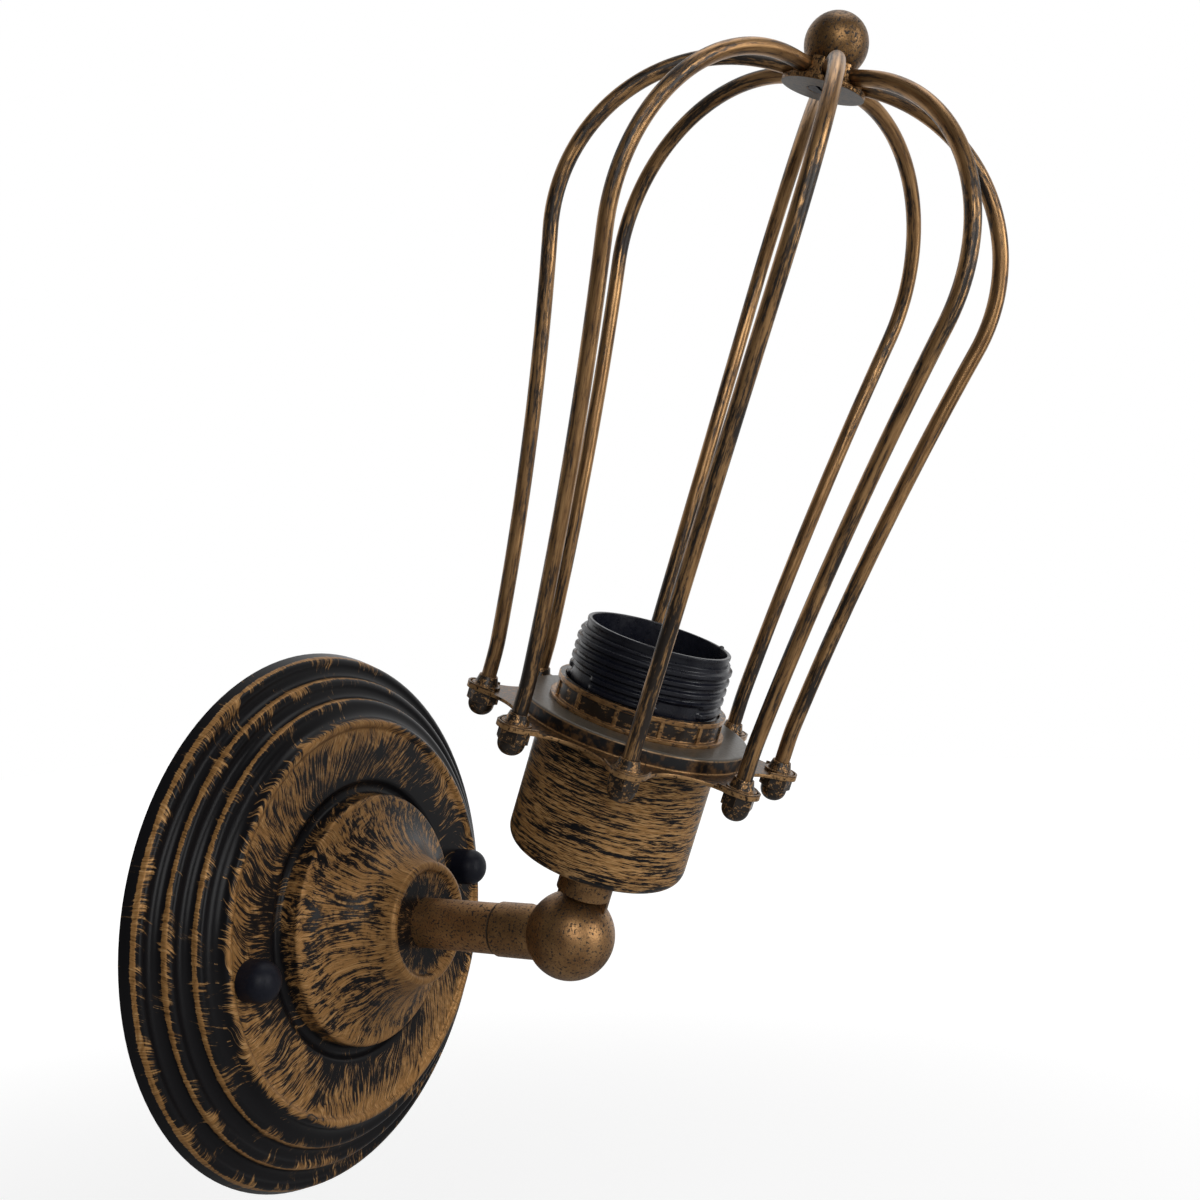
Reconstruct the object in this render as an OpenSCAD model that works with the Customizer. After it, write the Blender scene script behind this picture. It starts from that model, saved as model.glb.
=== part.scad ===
// Cage wall light: a stepped round wall plate, a short arm, a ball knuckle that tilts,
// a lamp holder in a cup, and a balloon cage of eight wires with a ball on top.
// Frame: Z up, wall face at Y = 0, the light stands out towards -Y, X to the right.

/* [Wall plate] */
// Diameter of the wall plate over its rim
plate_d = 150; // [144:1:165]
// Thickness of the pressed steel sheet
sheet = 1; // [0.8:0.1:1.2]
// How far the rim stands out past the first ridge
rim_flare = 1.2; // [0.8:0.1:1.6]
// Height of the first ridge's middle above the wall
first_ridge_h = 2.9; // [2.6:0.1:3.6]
// Radius of the rounded ridges
ridge_r = 1.8; // [1.5:0.1:2.1]
// Distance from one ridge to the next, inwards
ridge_run = 6; // [5.6:0.1:6.4]
// Rise from one ridge to the next
ridge_rise = 4; // [3.6:0.1:4.4]
// Radius of the hollows between the ridges
hollow_r = 2.6; // [2.2:0.1:3]
// Width of the step from the last ridge to the lip of the flat face
face_step = 5.7; // [5.3:0.1:6.1]
// Height of the flat face above the wall
face_h = 15.5; // [15:0.1:17]
// Height of the lip above the flat face
face_lip_h = 1.1; // [0.8:0.1:1.4]
// Radius of the lip round the flat face
face_lip_r = 1.4; // [1.3:0.1:1.6]
// Radius of the hollow outside the flat face
face_hollow_r = 3.6; // [3.2:0.1:4]
// Distance from the lip of the flat face in to the bell's side
face_w = 20.1; // [18.7:0.1:21.5]
// Height of the bell's rounded crest above the wall
bell_crest_h = 20.6; // [19:0.1:22]
// Radius of the bell's crest
bell_crest_r = 1.5; // [1.4:0.1:2]
// Radius of the bell's hollow side
bell_side_r = 21; // [19:0.5:28]
// Radius of the groove round the bell
groove_r = 1.8; // [1.5:0.1:2]
// Depth of the groove below the flat face
groove_depth = 1.6; // [1.2:0.1:1.8]
// Diameter of the boss that carries the arm
boss_d = 33.6; // [32:0.2:36]
// Height of the boss's rounded lip above the wall
boss_h = 37.6; // [36:0.1:40]
// Radius of the boss's lip
boss_lip_r = 1.4; // [1.3:0.1:1.8]
// Depth of the dish inside the boss's lip
dish_depth = 1.7; // [1.4:0.1:2]

/* [Wall fixings] */
// Distance of the two cap nuts' middles from the lip of the flat face
nut_in = 7.2; // [6.9:0.1:9]
// Turn of the line of the two cap nuts from level
nut_line_turn = 7; // [-8:1:8]
// Diameter of the two studs
stud_d = 4; // [3.5:0.5:4.5]
// Distance across the flats of the stud nuts
stud_nut_af = 7; // [6.5:0.5:8]
// Thickness of the stud nuts
stud_nut_t = 3.2; // [2.4:0.1:4]
// Diameter of the cap nuts
cap_nut_d = 10.8; // [9.5:0.1:11]
// Height of the cap nuts above the flat face
cap_nut_h = 8.5; // [8:0.5:12]
// Radius of the small flat on the end of a cap nut
cap_nut_flat_r = 0.6; // [0.4:0.1:1.5]
// How far the studs reach into the cap nuts
stud_reach = 5.5; // [4.5:0.5:6]
// Length of the wall strap past the circle of the two studs
strap_end = 6.5; // [5:0.5:8]
// Width of the wall strap
strap_w = 20; // [19:1:24]
// Thickness of the wall strap
strap_t = 2; // [1.5:0.5:2.5]
// Distance between the middles of the two wall screw slots
wall_slots_apart = 68; // [66:1:70]
// Width of the wall screw slots
wall_slot_w = 5; // [4:0.5:6]
// Length of the wall screw slots over their round ends
wall_slot_l = 11; // [8:0.5:12]
// Distance of the earth screw from the middle of the strap
earth_screw_x = 20; // [19:0.5:21]
// Diameter of the earth screw's shank
earth_screw_d = 4; // [3:0.5:4.5]
// Diameter of the earth screw's head
earth_head_d = 7.6; // [7:0.2:8]
// Diameter of the earth washer
earth_washer_d = 9; // [8.6:0.2:9.6]
// Distance of the connector block's near side from the arm's axis
block_off = 8; // [7:0.5:9]
// Length of the connector block
block_l = 24; // [21:1:26]
// Width of the connector block
block_w = 14; // [12:0.5:15]
// Height of the connector block
block_h = 11; // [10:0.5:13]
// Height of the block's bores above the strap
way_h = 6; // [5.5:0.5:6.5]

/* [Arm] */
// Distance of the knuckle's centre from the wall
knuckle_out = 82; // [78:1:100]
// Outside diameter of the arm's cover tube
arm_tube_d = 13.5; // [13:0.1:14]
// Wall of the arm's cover tube
arm_tube_wall = 1; // [0.8:0.1:1.2]
// Outside diameter of the hollow threaded rods
rod_d = 10; // [9:0.5:10]
// Bore of the hollow threaded rods
rod_bore_d = 7; // [6.5:0.5:7.5]
// How far the rods reach into the sleeves
rod_seat = 8; // [6:0.5:9]
// Distance across the flats of the rod nuts
rod_nut_af = 14; // [13:0.5:15]
// Thickness of the rod nuts
rod_nut_t = 4; // [3:0.5:5]
// Diameter of the washer behind the boss
rod_washer_d = 22; // [18:1:24]
// Thickness of the washer behind the boss
rod_washer_t = 1.5; // [1:0.5:2]
// How far the rod stands out behind its nut
rod_tail = 2; // [1:0.5:3]

/* [Knuckle] */
// Diameter of the ball
ball_d = 23.2; // [22.4:0.2:25]
// Diameter of the two sleeves
sleeve_d = 14.4; // [14:0.1:15]
// Distance from the ball's centre to the end of each sleeve
sleeve_reach = 21.6; // [20.5:0.1:24]
// Gap between a sleeve's step and the other half of the ball
step_gap = 0.7; // [0.4:0.1:1.5]
// Bevel at the end of each sleeve
sleeve_bevel = 0.6; // [0.3:0.1:1]
// Gap between the two halves of the ball
split_gap = 0.1; // [0.05:0.05:0.2]
// Diameter of the pivot screw
pivot_d = 4; // [3.5:0.5:4.5]
// Diameter of the pivot screw's head
pivot_head_d = 7; // [6.6:0.2:7.4]
// Length of the pivot screw's head
pivot_head_l = 3; // [2.4:0.2:3.4]
// Wall left in front of the pivot screw's tip
pivot_end_wall = 5.2; // [4.4:0.2:6]
// Wall of the boss round the pivot screw
pivot_boss_wall = 2; // [1.6:0.2:2.4]
// Wall of the ball round its wiring hollow
ball_wall = 2.9; // [2.3:0.1:3.3]
// Clearance all round the turning pivot
pivot_clear = 0.08; // [0.04:0.02:0.1]
// Depth of the wiring hollow in each half of the ball
ball_hollow_t = 3; // [2.4:0.2:3.4]
// Lean of the cup and cage out from upright at rest
lean = 21; // [0:1:45]

/* [Cup] */
// Outside diameter of the cup
cup_d = 46.4; // [45:0.2:48]
// Height of the cup
cup_h = 38.6; // [36:0.2:42]
// Wall of the cup
cup_wall = 1; // [0.8:0.1:1.2]
// Radius of the cup's lower corner
cup_corner_r = 4.5; // [3:0.5:6]

/* [Lamp holder] */
// Diameter over the crests of the skirt's outside thread
skirt_thread_d = 39.8; // [39:0.1:40.2]
// Depth of the skirt's outside thread
thread_depth = 0.9; // [0.7:0.1:1]
// Pitch of the skirt's outside thread
thread_pitch = 2.5; // [2.3:0.1:2.7]
// How far the plain lip stands in from the root of the thread
skirt_lip_inset = 0.6; // [0.4:0.1:0.8]
// Height of the plain lip
skirt_lip_h = 2.3; // [2:0.1:3]
// Height of the skirt above the cage's disc
skirt_above_disc = 21.3; // [20:0.1:26]
// Wall of the skirt under its thread
skirt_wall = 1.5; // [1.3:0.1:2]
// Number of smooth panels in the thread
panels = 4; // [2:1:5]
// Angle taken by each smooth panel
panel_angle = 34; // [25:1:45]
// Turn of the first smooth panel about the lamp's axis
panel_turn = 37; // [0:1:89]
// Height of the smooth panels above the disc
panel_h = 9; // [7:0.5:13]
// Inside diameter of the lamp's screw shell
shell_bore_d = 26.6; // [26.4:0.1:27]
// Wall of the screw shell
shell_wall = 0.6; // [0.4:0.1:0.8]
// Length of the screw shell
shell_l = 18; // [16:0.5:19]
// Height of the screw shell above the core's floor
shell_lift = 2.4; // [2:0.1:3]
// Depth of the insulating core's floor below the disc's top
core_floor_down = 15.4; // [14.9:0.1:16]
// Thickness of the core's floor
core_floor_t = 5; // [4:0.5:5]
// Height of the holder's base cap
base_cap_h = 9; // [8:0.5:9.5]
// Wall of the holder's base cap
base_cap_wall = 2; // [1.6:0.1:2.4]

/* [Shade ring] */
// Wall of the ring over its grip ribs
ring_wall = 1.6; // [1.4:0.1:2]
// Height of the ring
ring_h = 6; // [5.5:0.1:9]
// How far the ring's foot stands out past the ribs
ring_foot_out = 0.9; // [0.5:0.1:1.5]
// Height of the ring's foot
ring_foot_h = 0.9; // [0.7:0.1:1.5]
// Height of the plain band at the top of the ring
ring_band_h = 1.2; // [0.8:0.1:1.6]
// Number of grip ribs round the ring
ring_ribs = 12; // [8:1:18]
// Width of a grip rib
ring_rib_w = 1; // [0.7:0.1:1.4]
// Depth of the panels between the ribs
ring_panel_depth = 0.45; // [0.3:0.05:0.6]
// Turn of the first grip rib about the lamp's axis
ring_turn = 12; // [0:1:29]

/* [Cage] */
// Diameter of the disc under the shade ring
disc_d = 59.2; // [56:0.2:61]
// Thickness of the disc and its flange
disc_t = 0.8; // [0.7:0.1:1.2]
// Drop from the disc's top to the flange's top
disc_drop = 3.8; // [3.2:0.1:4.4]
// Radius of the disc's rounded edge
disc_edge_r = 0.8; // [0.5:0.1:0.9]
// Diameter of the flange between the ears
flange_root_d = 64; // [63:0.2:66]
// Diameter of the circle on which the wires stand
ear_circle_d = 77; // [75:0.2:79]
// Diameter of an ear
ear_d = 9.4; // [9.2:0.1:10]
// Height of the lip round an ear
ear_lip_h = 0.7; // [0.5:0.1:1.4]
// Thickness of the lip round an ear
ear_lip_t = 0.5; // [0.4:0.1:0.7]
// How far an ear's lip runs on into the scallops
ear_lip_span = 1.4; // [1:0.1:2]
// Turn of the cage about the lamp's axis
cage_turn = 26.5; // [0:0.5:45]
// Diameter of a wire
wire_d = 3.8; // [3.5:0.1:4]
// Height of a wire's straight foot above the flange
wire_foot_h = 8; // [6:0.5:12]
// Radius of the bend above the foot
wire_foot_bend_r = 60; // [50:1:80]
// Outward slope of a wire above its foot
wire_foot_slope = 4.8; // [4:0.1:6]
// Radius of the outward bow of a wire's long run
wire_bow_r = 850; // [780:10:1000]
// Radius of the shoulder where a wire bends over to the hub
wire_shoulder_r = 42; // [39:0.5:44]
// Height of the wires at the hub above the disc's top
cage_h = 159.3; // [152:0.1:170]
// Distance across the flats of the wire nuts
wire_nut_af = 7; // [6.6:0.1:7.5]
// Height of the hexagon of a wire nut
wire_nut_hex_h = 3; // [2.6:0.1:3.4]
// Height of a wire nut with its dome
wire_nut_h = 6.6; // [6.2:0.1:8]
// Diameter of the collar on a wire
collar_d = 7.4; // [7:0.1:7.6]
// Height of the collar's flat foot
collar_foot_h = 0.7; // [0.5:0.1:1]
// Wall at the foot of the collar's cone
collar_wall = 1.1; // [0.9:0.1:1.3]
// Height of the collar on a wire
collar_h = 3; // [2.6:0.1:4]

/* [Hub and finial] */
// Diameter of the hub's flange
hub_flange_d = 20; // [19:0.2:22]
// Thickness of the hub's flange
hub_flange_t = 1.2; // [1:0.1:1.4]
// Diameter of the hub's body
hub_body_d = 17.4; // [16.4:0.2:18.4]
// Height of the hub
hub_h = 5.5; // [5.3:0.1:6.4]
// Height of the hub above the middle of the wires
hub_rise = 2.2; // [2:0.1:2.6]
// Distance of the wires' ends from the lamp's axis
wire_end_r = 6; // [5.7:0.1:7]
// Diameter of the ball on top
finial_d = 15; // [14:0.2:17]
// Height of the finial ball's centre above the hub's top
finial_rise = 5.2; // [4:0.2:6]
// Diameter of the hub screw
hub_screw_d = 4; // [3:0.5:4]
// How far the hub screw reaches into the ball
hub_screw_reach = 6; // [5:0.5:7]
// Diameter of the hub screw's head
hub_screw_head_d = 7; // [6:0.5:7.5]
// Height of the hub screw's head
hub_screw_head_h = 1.6; // [1.2:0.1:2]

/* [Leads] */
// Diameter of an insulated lead
lead_d = 2; // [1.6:0.1:2.1]

/* [Hidden] */
$fn = 64;

// Clearance all round a fixed screw, rod or wire in its hole
fit_gap = 0.1;
eps = 0.01;
wires = 8;
ridges = 3;
far = 200;

// Heights out from the wall
dish_h = boss_h - dish_depth;
boss_inner_h = dish_h - sheet;
tag_t = 0.8;
tag_top_h = boss_inner_h - rod_washer_t;
rod_nut_top_h = tag_top_h - tag_t;
rod_back_h = rod_nut_top_h - rod_nut_t - rod_tail;
arm_sleeve_h = knuckle_out - sleeve_reach;
rod_front_h = arm_sleeve_h + rod_seat;

// Heights along the lamp's axis, from the centre of the ball
cup_s = sleeve_reach;
cup_floor_s = cup_s + cup_wall;
cup_top_s = cup_s + cup_h;
disc_s = cup_top_s + disc_t;
flange_top_s = disc_s - disc_drop;
flange_s = flange_top_s - disc_t;
base_cap_s = cup_floor_s + rod_nut_t;
skirt_s = base_cap_s + base_cap_h;
skirt_top_s = disc_s + skirt_above_disc;
core_floor_s = disc_s - core_floor_down;
core_under_s = core_floor_s - core_floor_t;
nipple_back_s = cup_s - rod_seat;
nipple_tip = 2;
nipple_front_s = base_cap_s + base_cap_wall + nipple_tip;
wire_hub_s = disc_s + cage_h;
hub_top_s = wire_hub_s + hub_rise;
hub_s = hub_top_s - hub_h;
finial_s = hub_top_s + finial_rise;

bronze = "#5b4a33";
plated = "#b9bcc0";
brassy = "#c6a55a";
moulded = "#ece8dc";
black_plastic = "#1b1c1f";

// Places

// Local Z points out from the wall and local Y points up
module from_wall() rotate([90, 0, 0]) children();

// Local Z runs along the lamp's axis from the centre of the ball
module on_lamp() translate([0, -knuckle_out, 0]) rotate([lean, 0, 0]) children();

// The two studs and what stands on them
module at_studs()
    for (side = [0, 180])
        rotate(side + nut_line_turn)
            translate([nut_circle_d / 2, 0, 0])
                children();

function wire_angle(number) = cage_turn - 180 + 360 / wires * (number - 1);

module at_ears()
    for (number = [1:wires])
        rotate(wire_angle(number))
            translate([ear_circle_d / 2, 0, 0])
                children();

// Shapes used more than once

module ring(outer_d, inner_d, h)
    difference() {
        cylinder(d = outer_d, h = h);
        translate([0, 0, -eps]) cylinder(d = inner_d, h = h + 2 * eps);
    }

module hex_nut(af, bore_d, h)
    difference() {
        cylinder(d = af / cos(30), h = h, $fn = 6);
        translate([0, 0, -eps]) cylinder(d = bore_d, h = h + 2 * eps);
    }

// A screw whose head stands on Z = 0, with a slot across the head
slot_w = 1;
module slotted_screw(shank_d, shank_l, head_d, head_h) {
    slot_depth = head_h / 2;
    difference() {
        union() {
            translate([0, 0, -shank_l]) cylinder(d = shank_d, h = shank_l + eps);
            cylinder(d = head_d, h = head_h);
        }
        translate([-head_d, -slot_w / 2, head_h - slot_depth]) cube([2 * head_d, slot_w, head_h]);
    }
}

// A nut with a domed blind end, its open end on Z = 0
module dome(d, h, round_r) {
    rotate_extrude()
        polygon(concat([[0, 0], [d / 2, 0]], arc([d / 2 - round_r, h - round_r], round_r, 0, 90, 12),
            [[0, h]]));
}

// Outlines

function arc(centre, r, from, to, steps) =
    [for (i = [0:steps]) let (at = from + (to - from) * i / steps) centre + r * [cos(at), sin(at)]];

// Direction from one point to another, between -180 and 180
function heading(a, b) = atan2(b[1] - a[1], b[0] - a[0]);

// The same direction, between -270 and 90, so that a hollow's bottom lies inside the range
function heading_down(a, b) =
    let (direction = heading(a, b))
    direction > 90 ? direction - 360 : direction;

// Centre of the circle of radius r that touches two circles from outside, on the left of a to b
function cove(a, a_r, b, b_r, r) =
    let (
        gap = norm(b - a),
        side_a = a_r + r,
        side_b = b_r + r,
        along = (gap * gap + side_a * side_a - side_b * side_b) / (2 * gap),
        across = sqrt(side_a * side_a - along * along),
        unit = (b - a) / gap
    )
    a + along * unit + across * [unit[1], -unit[0]];

// How far along a level line a circle of radius r touches another, with drop between their centres
function level_run(r_sum, drop) = sqrt(r_sum * r_sum - drop * drop);

// The wall plate's section

ridge_out = plate_d / 2 - rim_flare - ridge_r;
function ridge_centre(i) = [ridge_out - i * ridge_run, first_ridge_h + i * ridge_rise];
face_lip_centre = [ridge_out + ridge_r - (ridges - 1) * ridge_run - face_step - face_lip_r,
    face_h + face_lip_h - face_lip_r];
bell_d = 2 * (face_lip_centre[0] - face_w);
nut_circle_d = 2 * (face_lip_centre[0] - nut_in);
face_fillet_r = 1;
face_fillet_centre = [
    face_lip_centre[0] - level_run(face_lip_r + face_fillet_r, face_h + face_fillet_r - face_lip_centre[1]),
    face_h + face_fillet_r];
groove_centre = [bell_d / 2 + groove_r, face_h - groove_depth + groove_r];
groove_edge_r = 1.4;
groove_edge_centre = [
    groove_centre[0] + level_run(groove_r + groove_edge_r, groove_centre[1] - face_h + groove_edge_r),
    face_h - groove_edge_r];
crest_centre = [bell_d / 2 - bell_crest_r, bell_crest_h - bell_crest_r];
boss_lip_centre = [boss_d / 2 - boss_lip_r, boss_h - boss_lip_r];
bell_side_centre = cove(crest_centre, bell_crest_r, boss_lip_centre, boss_lip_r, bell_side_r);
dish_fillet_r = 1;
dish_fillet_centre = [
    boss_lip_centre[0] - level_run(boss_lip_r + dish_fillet_r, dish_h + dish_fillet_r - boss_lip_centre[1]),
    dish_h + dish_fillet_r];
// The rim's sloping wall touches the first ridge here
rim_reach = norm(ridge_centre(0) - [plate_d / 2, 0]);
rim_touch = heading(ridge_centre(0), [plate_d / 2, 0]) + acos(ridge_r / rim_reach);

// One bend of the sheet: positive r bulges outwards and negative r is hollow
function bend(centre, r, from, to, inside, steps = 8) =
    arc(centre, abs(r) - (inside ? sign(r) * sheet : 0), from, to, steps);

function ridge_bends(i, inside) =
    let (
        here = ridge_centre(i),
        last = i == ridges - 1,
        next = last ? face_lip_centre : ridge_centre(i + 1),
        next_r = last ? face_lip_r : ridge_r,
        cove_r = last ? face_hollow_r : hollow_r,
        cove_centre = cove(here, ridge_r, next, next_r, cove_r),
        before = i == 0 ? rim_touch
            : heading(here, cove(ridge_centre(i - 1), ridge_r, here, ridge_r, hollow_r))
    )
    concat(
        bend(here, ridge_r, before, heading(here, cove_centre), inside),
        bend(cove_centre, -cove_r, heading_down(cove_centre, here), heading_down(cove_centre, next), inside));

function plate_skin(inside) =
    let (last_cove = cove(ridge_centre(ridges - 1), ridge_r, face_lip_centre, face_lip_r, face_hollow_r))
    concat(
        [[plate_d / 2 - (inside ? sheet / cos(rim_touch) : 0), 0]],
        [for (i = [0:ridges - 1]) each ridge_bends(i, inside)],
        bend(face_lip_centre, face_lip_r, heading(face_lip_centre, last_cove),
            heading(face_lip_centre, face_fillet_centre), inside),
        bend(face_fillet_centre, -face_fillet_r, heading_down(face_fillet_centre, face_lip_centre), -90,
            inside),
        bend(groove_edge_centre, groove_edge_r, 90, heading(groove_edge_centre, groove_centre), inside),
        bend(groove_centre, -groove_r, heading_down(groove_centre, groove_edge_centre), -180, inside),
        bend(crest_centre, bell_crest_r, 0, heading(crest_centre, bell_side_centre), inside),
        bend(bell_side_centre, -bell_side_r, heading_down(bell_side_centre, crest_centre),
            heading_down(bell_side_centre, boss_lip_centre), inside, 16),
        bend(boss_lip_centre, boss_lip_r, heading(boss_lip_centre, bell_side_centre),
            heading(boss_lip_centre, dish_fillet_centre), inside),
        bend(dish_fillet_centre, -dish_fillet_r, heading_down(dish_fillet_centre, boss_lip_centre), -90,
            inside),
        [[0, dish_h - (inside ? sheet : 0)]]);

function reversed(points) = [for (i = [len(points) - 1:-1:0]) points[i]];

// Wall side

strap_l = nut_circle_d + 2 * strap_end;
stud_l = face_h + stud_reach;

module wall_plate() color(bronze) from_wall()
    difference() {
        rotate_extrude()
            polygon(concat(plate_skin(false), reversed(plate_skin(true))));
        cylinder(d = rod_d + 2 * fit_gap, h = far);
        at_studs() cylinder(d = stud_d + 2 * fit_gap, h = far);
    }

module wall_strap() color(plated) from_wall()
    difference() {
        translate([-strap_l / 2, -strap_w / 2, 0]) cube([strap_l, strap_w, strap_t]);
        for (side = [-1, 1])
            translate([side * wall_slots_apart / 2, 0, -eps])
                round_slot(wall_slot_l, wall_slot_w, strap_t + 2 * eps);
        at_studs() translate([0, 0, -eps]) cylinder(d = stud_d + 2 * fit_gap, h = strap_t + 2 * eps);
        translate([earth_screw_x, 0, -eps]) cylinder(d = earth_screw_d + 2 * fit_gap, h = strap_t + 2 * eps);
        at_block_screw() cylinder(d = block_screw_d + 2 * fit_gap, h = far, center = true);
    }

// A slot along X with round ends
module round_slot(l, w, h) {
    straight = l - w;
    translate([-straight / 2, -w / 2, 0]) cube([straight, w, h]);
    for (side = [-1, 1])
        translate([side * straight / 2, 0, 0]) cylinder(d = w, h = h);
}

module strap_studs() color(plated) from_wall()
    at_studs() cylinder(d = stud_d, h = stud_l);

module stud_nuts() color(plated) from_wall()
    at_studs() translate([0, 0, strap_t]) hex_nut(stud_nut_af, stud_d + 2 * fit_gap, stud_nut_t);

module cap_nuts() color(black_plastic) from_wall()
    at_studs() translate([0, 0, face_h])
        difference() {
            dome(cap_nut_d, cap_nut_h, cap_nut_d / 2 - cap_nut_flat_r);
            translate([0, 0, -eps]) cylinder(d = stud_d + 2 * fit_gap, h = stud_reach + fit_gap);
        }

earth_washer_t = 0.8;
earth_head_h = 2.4;
module earth_screw() color(brassy) from_wall()
    translate([earth_screw_x, 0, strap_t + earth_washer_t])
        slotted_screw(earth_screw_d, strap_t + earth_washer_t, earth_head_d, earth_head_h);

module earth_washer() color(brassy) from_wall()
    translate([earth_screw_x, 0, strap_t]) ring(earth_washer_d, earth_screw_d + 2 * fit_gap, earth_washer_t);

// The connector block stands beside the middle of the strap, its three ways along X
ways = 3;
way_pitch = block_l / ways;
block_x = -block_w / 2 - block_off;
block_screw_d = 3;
way_bore_d = 3.2;
way_screw_d = 3;
way_screw_sunk = 1.5;
way_slot_w = 0.6;
way_level = strap_t + way_h;
way_screw_top = strap_t + block_h - way_screw_sunk;
way_gap = 1.2;

function way_y(i) = (i - (ways - 1) / 2) * way_pitch;

module at_block_screw() translate([block_x, way_pitch / 2, 0]) children();

module connector_block() color(moulded) from_wall()
    difference() {
        translate([block_x - block_w / 2, -block_l / 2, strap_t]) cube([block_w, block_l, block_h]);
        // Notches between the ways
        for (i = [0:ways - 2])
            translate([block_x - block_w, way_y(i) + way_pitch / 2 - way_gap / 2, way_level])
                cube([2 * block_w, way_gap, block_h]);
        for (i = [0:ways - 1]) {
            translate([block_x - block_w, way_y(i), way_level])
                rotate([0, 90, 0])
                    cylinder(d = way_bore_d, h = 2 * block_w);
            for (side = [-1, 1])
                translate([block_x + side * block_w / 4, way_y(i), way_level])
                    cylinder(d = way_screw_d + 2 * fit_gap, h = block_h);
        }
        at_block_screw() cylinder(d = block_screw_d + 2 * fit_gap, h = far);
        at_block_screw() translate([0, 0, way_level]) cylinder(d = block_head_d + 4 * fit_gap, h = block_h);
    }

module connector_screws() color(brassy) from_wall()
    for (i = [0:ways - 1])
        for (side = [-1, 1])
            translate([block_x + side * block_w / 4, way_y(i), way_screw_top])
                difference() {
                    way_screw_l = way_screw_top - way_level - way_bore_d / 2;
                    translate([0, 0, -way_screw_l]) cylinder(d = way_screw_d, h = way_screw_l);
                    translate([-way_screw_d, -way_slot_w / 2, -way_slot_w])
                        cube([2 * way_screw_d, way_slot_w, 2 * way_slot_w]);
                }

block_head_d = 5.4;
block_head_h = 1.8;
module block_screw() color(plated) from_wall()
    at_block_screw() translate([0, 0, way_level])
        slotted_screw(block_screw_d, way_level, block_head_d, block_head_h);

module arm_rod() color(plated) from_wall()
    translate([0, 0, rod_back_h]) ring(rod_d, rod_bore_d, rod_front_h - rod_back_h);

module rod_washer() color(plated) from_wall()
    translate([0, 0, tag_top_h]) ring(rod_washer_d, rod_d + 2 * fit_gap, rod_washer_t);

tag_d = 18;
tag_tongue_w = 5;
tag_end_x = 14.5;
earth_lead_x = 12.4;
module earth_tag() color(brassy) from_wall()
    translate([0, 0, rod_nut_top_h])
        difference() {
            union() {
                cylinder(d = tag_d, h = tag_t);
                translate([0, -tag_tongue_w / 2, 0]) cube([tag_end_x, tag_tongue_w, tag_t]);
            }
            translate([0, 0, -eps]) cylinder(d = rod_d + 2 * fit_gap, h = tag_t + 2 * eps);
        }

module rod_nut() color(plated) from_wall()
    translate([0, 0, rod_nut_top_h - rod_nut_t]) hex_nut(rod_nut_af, rod_d + 2 * fit_gap, rod_nut_t);

module arm_tube() color(bronze) from_wall()
    translate([0, 0, dish_h]) ring(arm_tube_d, arm_tube_d - 2 * arm_tube_wall, arm_sleeve_h - dish_h);

// Leads

// A lead that comes in level from a point, bends, and runs out along Z over the other point
module lead(from, to, level, bend_r, top) {
    reach = norm(from - to);
    translate([to[0], to[1], level]) rotate(heading(to, from)) {
        translate([0, 0, bend_r]) cylinder(d = lead_d, h = top - level - bend_r, $fn = 24);
        translate([bend_r, 0, bend_r])
            rotate([90, 0, 0])
                rotate(180)
                    rotate_extrude(angle = 90)
                        translate([bend_r, 0]) circle(d = lead_d, $fn = 24);
        translate([bend_r, 0, 0]) rotate([0, 90, 0]) cylinder(d = lead_d, h = reach - bend_r, $fn = 24);
    }
}

lead_bend_r = 4;
lead_side = 1.25;
module supply_leads() color(black_plastic) from_wall() {
    block_face_x = block_x + block_w / 2;
    lead([block_face_x, way_y(1)], [-lead_side, 0], way_level, lead_bend_r, arm_sleeve_h);
    lead([block_face_x, way_y(2)], [lead_side, 0], way_level, lead_bend_r, arm_sleeve_h);
}

module earth_lead() color("#6fae3a") from_wall() {
    washer_side = [earth_screw_x - earth_washer_d / 2, 0];
    lead(washer_side, [earth_lead_x, 0], strap_t + lead_d / 2, lead_d, rod_nut_top_h);
}

// Knuckle

ball_r = ball_d / 2;
pivot_boss_r = pivot_d / 2 + pivot_boss_wall;
pivot_grip = ball_r - pivot_end_wall;
channel_step = 0.5;
sleeve_channel_d = rod_bore_d - 2 * channel_step;

// One casting of the knuckle, its sleeve along Z and its half of the ball on the left
module knuckle_half()
    difference() {
        union() {
            intersection() {
                sphere(r = ball_r);
                left_of(-split_gap / 2);
            }
            difference() {
                sleeve_body();
                // The other half of the ball turns here, under the sleeve's step
                translate([-split_gap / 2, -far / 2, ball_r + step_gap - far]) cube(far);
            }
        }
        translate([0, 0, sleeve_reach - rod_seat - fit_gap])
            cylinder(d = rod_d + 2 * fit_gap, h = rod_seat + 2 * fit_gap);
        translate([0, 0, pivot_boss_r + channel_step]) cylinder(d = sleeve_channel_d, h = sleeve_reach);
        // The leads pass round the pivot's boss
        rotate([0, -90, 0])
            translate([0, 0, -eps])
                ring(2 * (ball_r - ball_wall), 2 * pivot_boss_r, ball_hollow_t);
    }

module left_of(x) translate([x - far, -far / 2, -far / 2]) cube([far, far, far]);

module sleeve_body()
    rotate_extrude()
        polygon([[0, 0], [sleeve_d / 2, 0], [sleeve_d / 2, sleeve_reach - sleeve_bevel],
            [sleeve_d / 2 - sleeve_bevel, sleeve_reach], [0, sleeve_reach]]);

module at_ball() translate([0, -knuckle_out, 0]) children();

module knuckle_arm_half() color(bronze) at_ball()
    difference() {
        rotate([-90, 0, 0]) knuckle_half();
        rotate([0, -90, 0]) cylinder(d = pivot_d + 2 * fit_gap, h = pivot_grip);
    }

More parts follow.
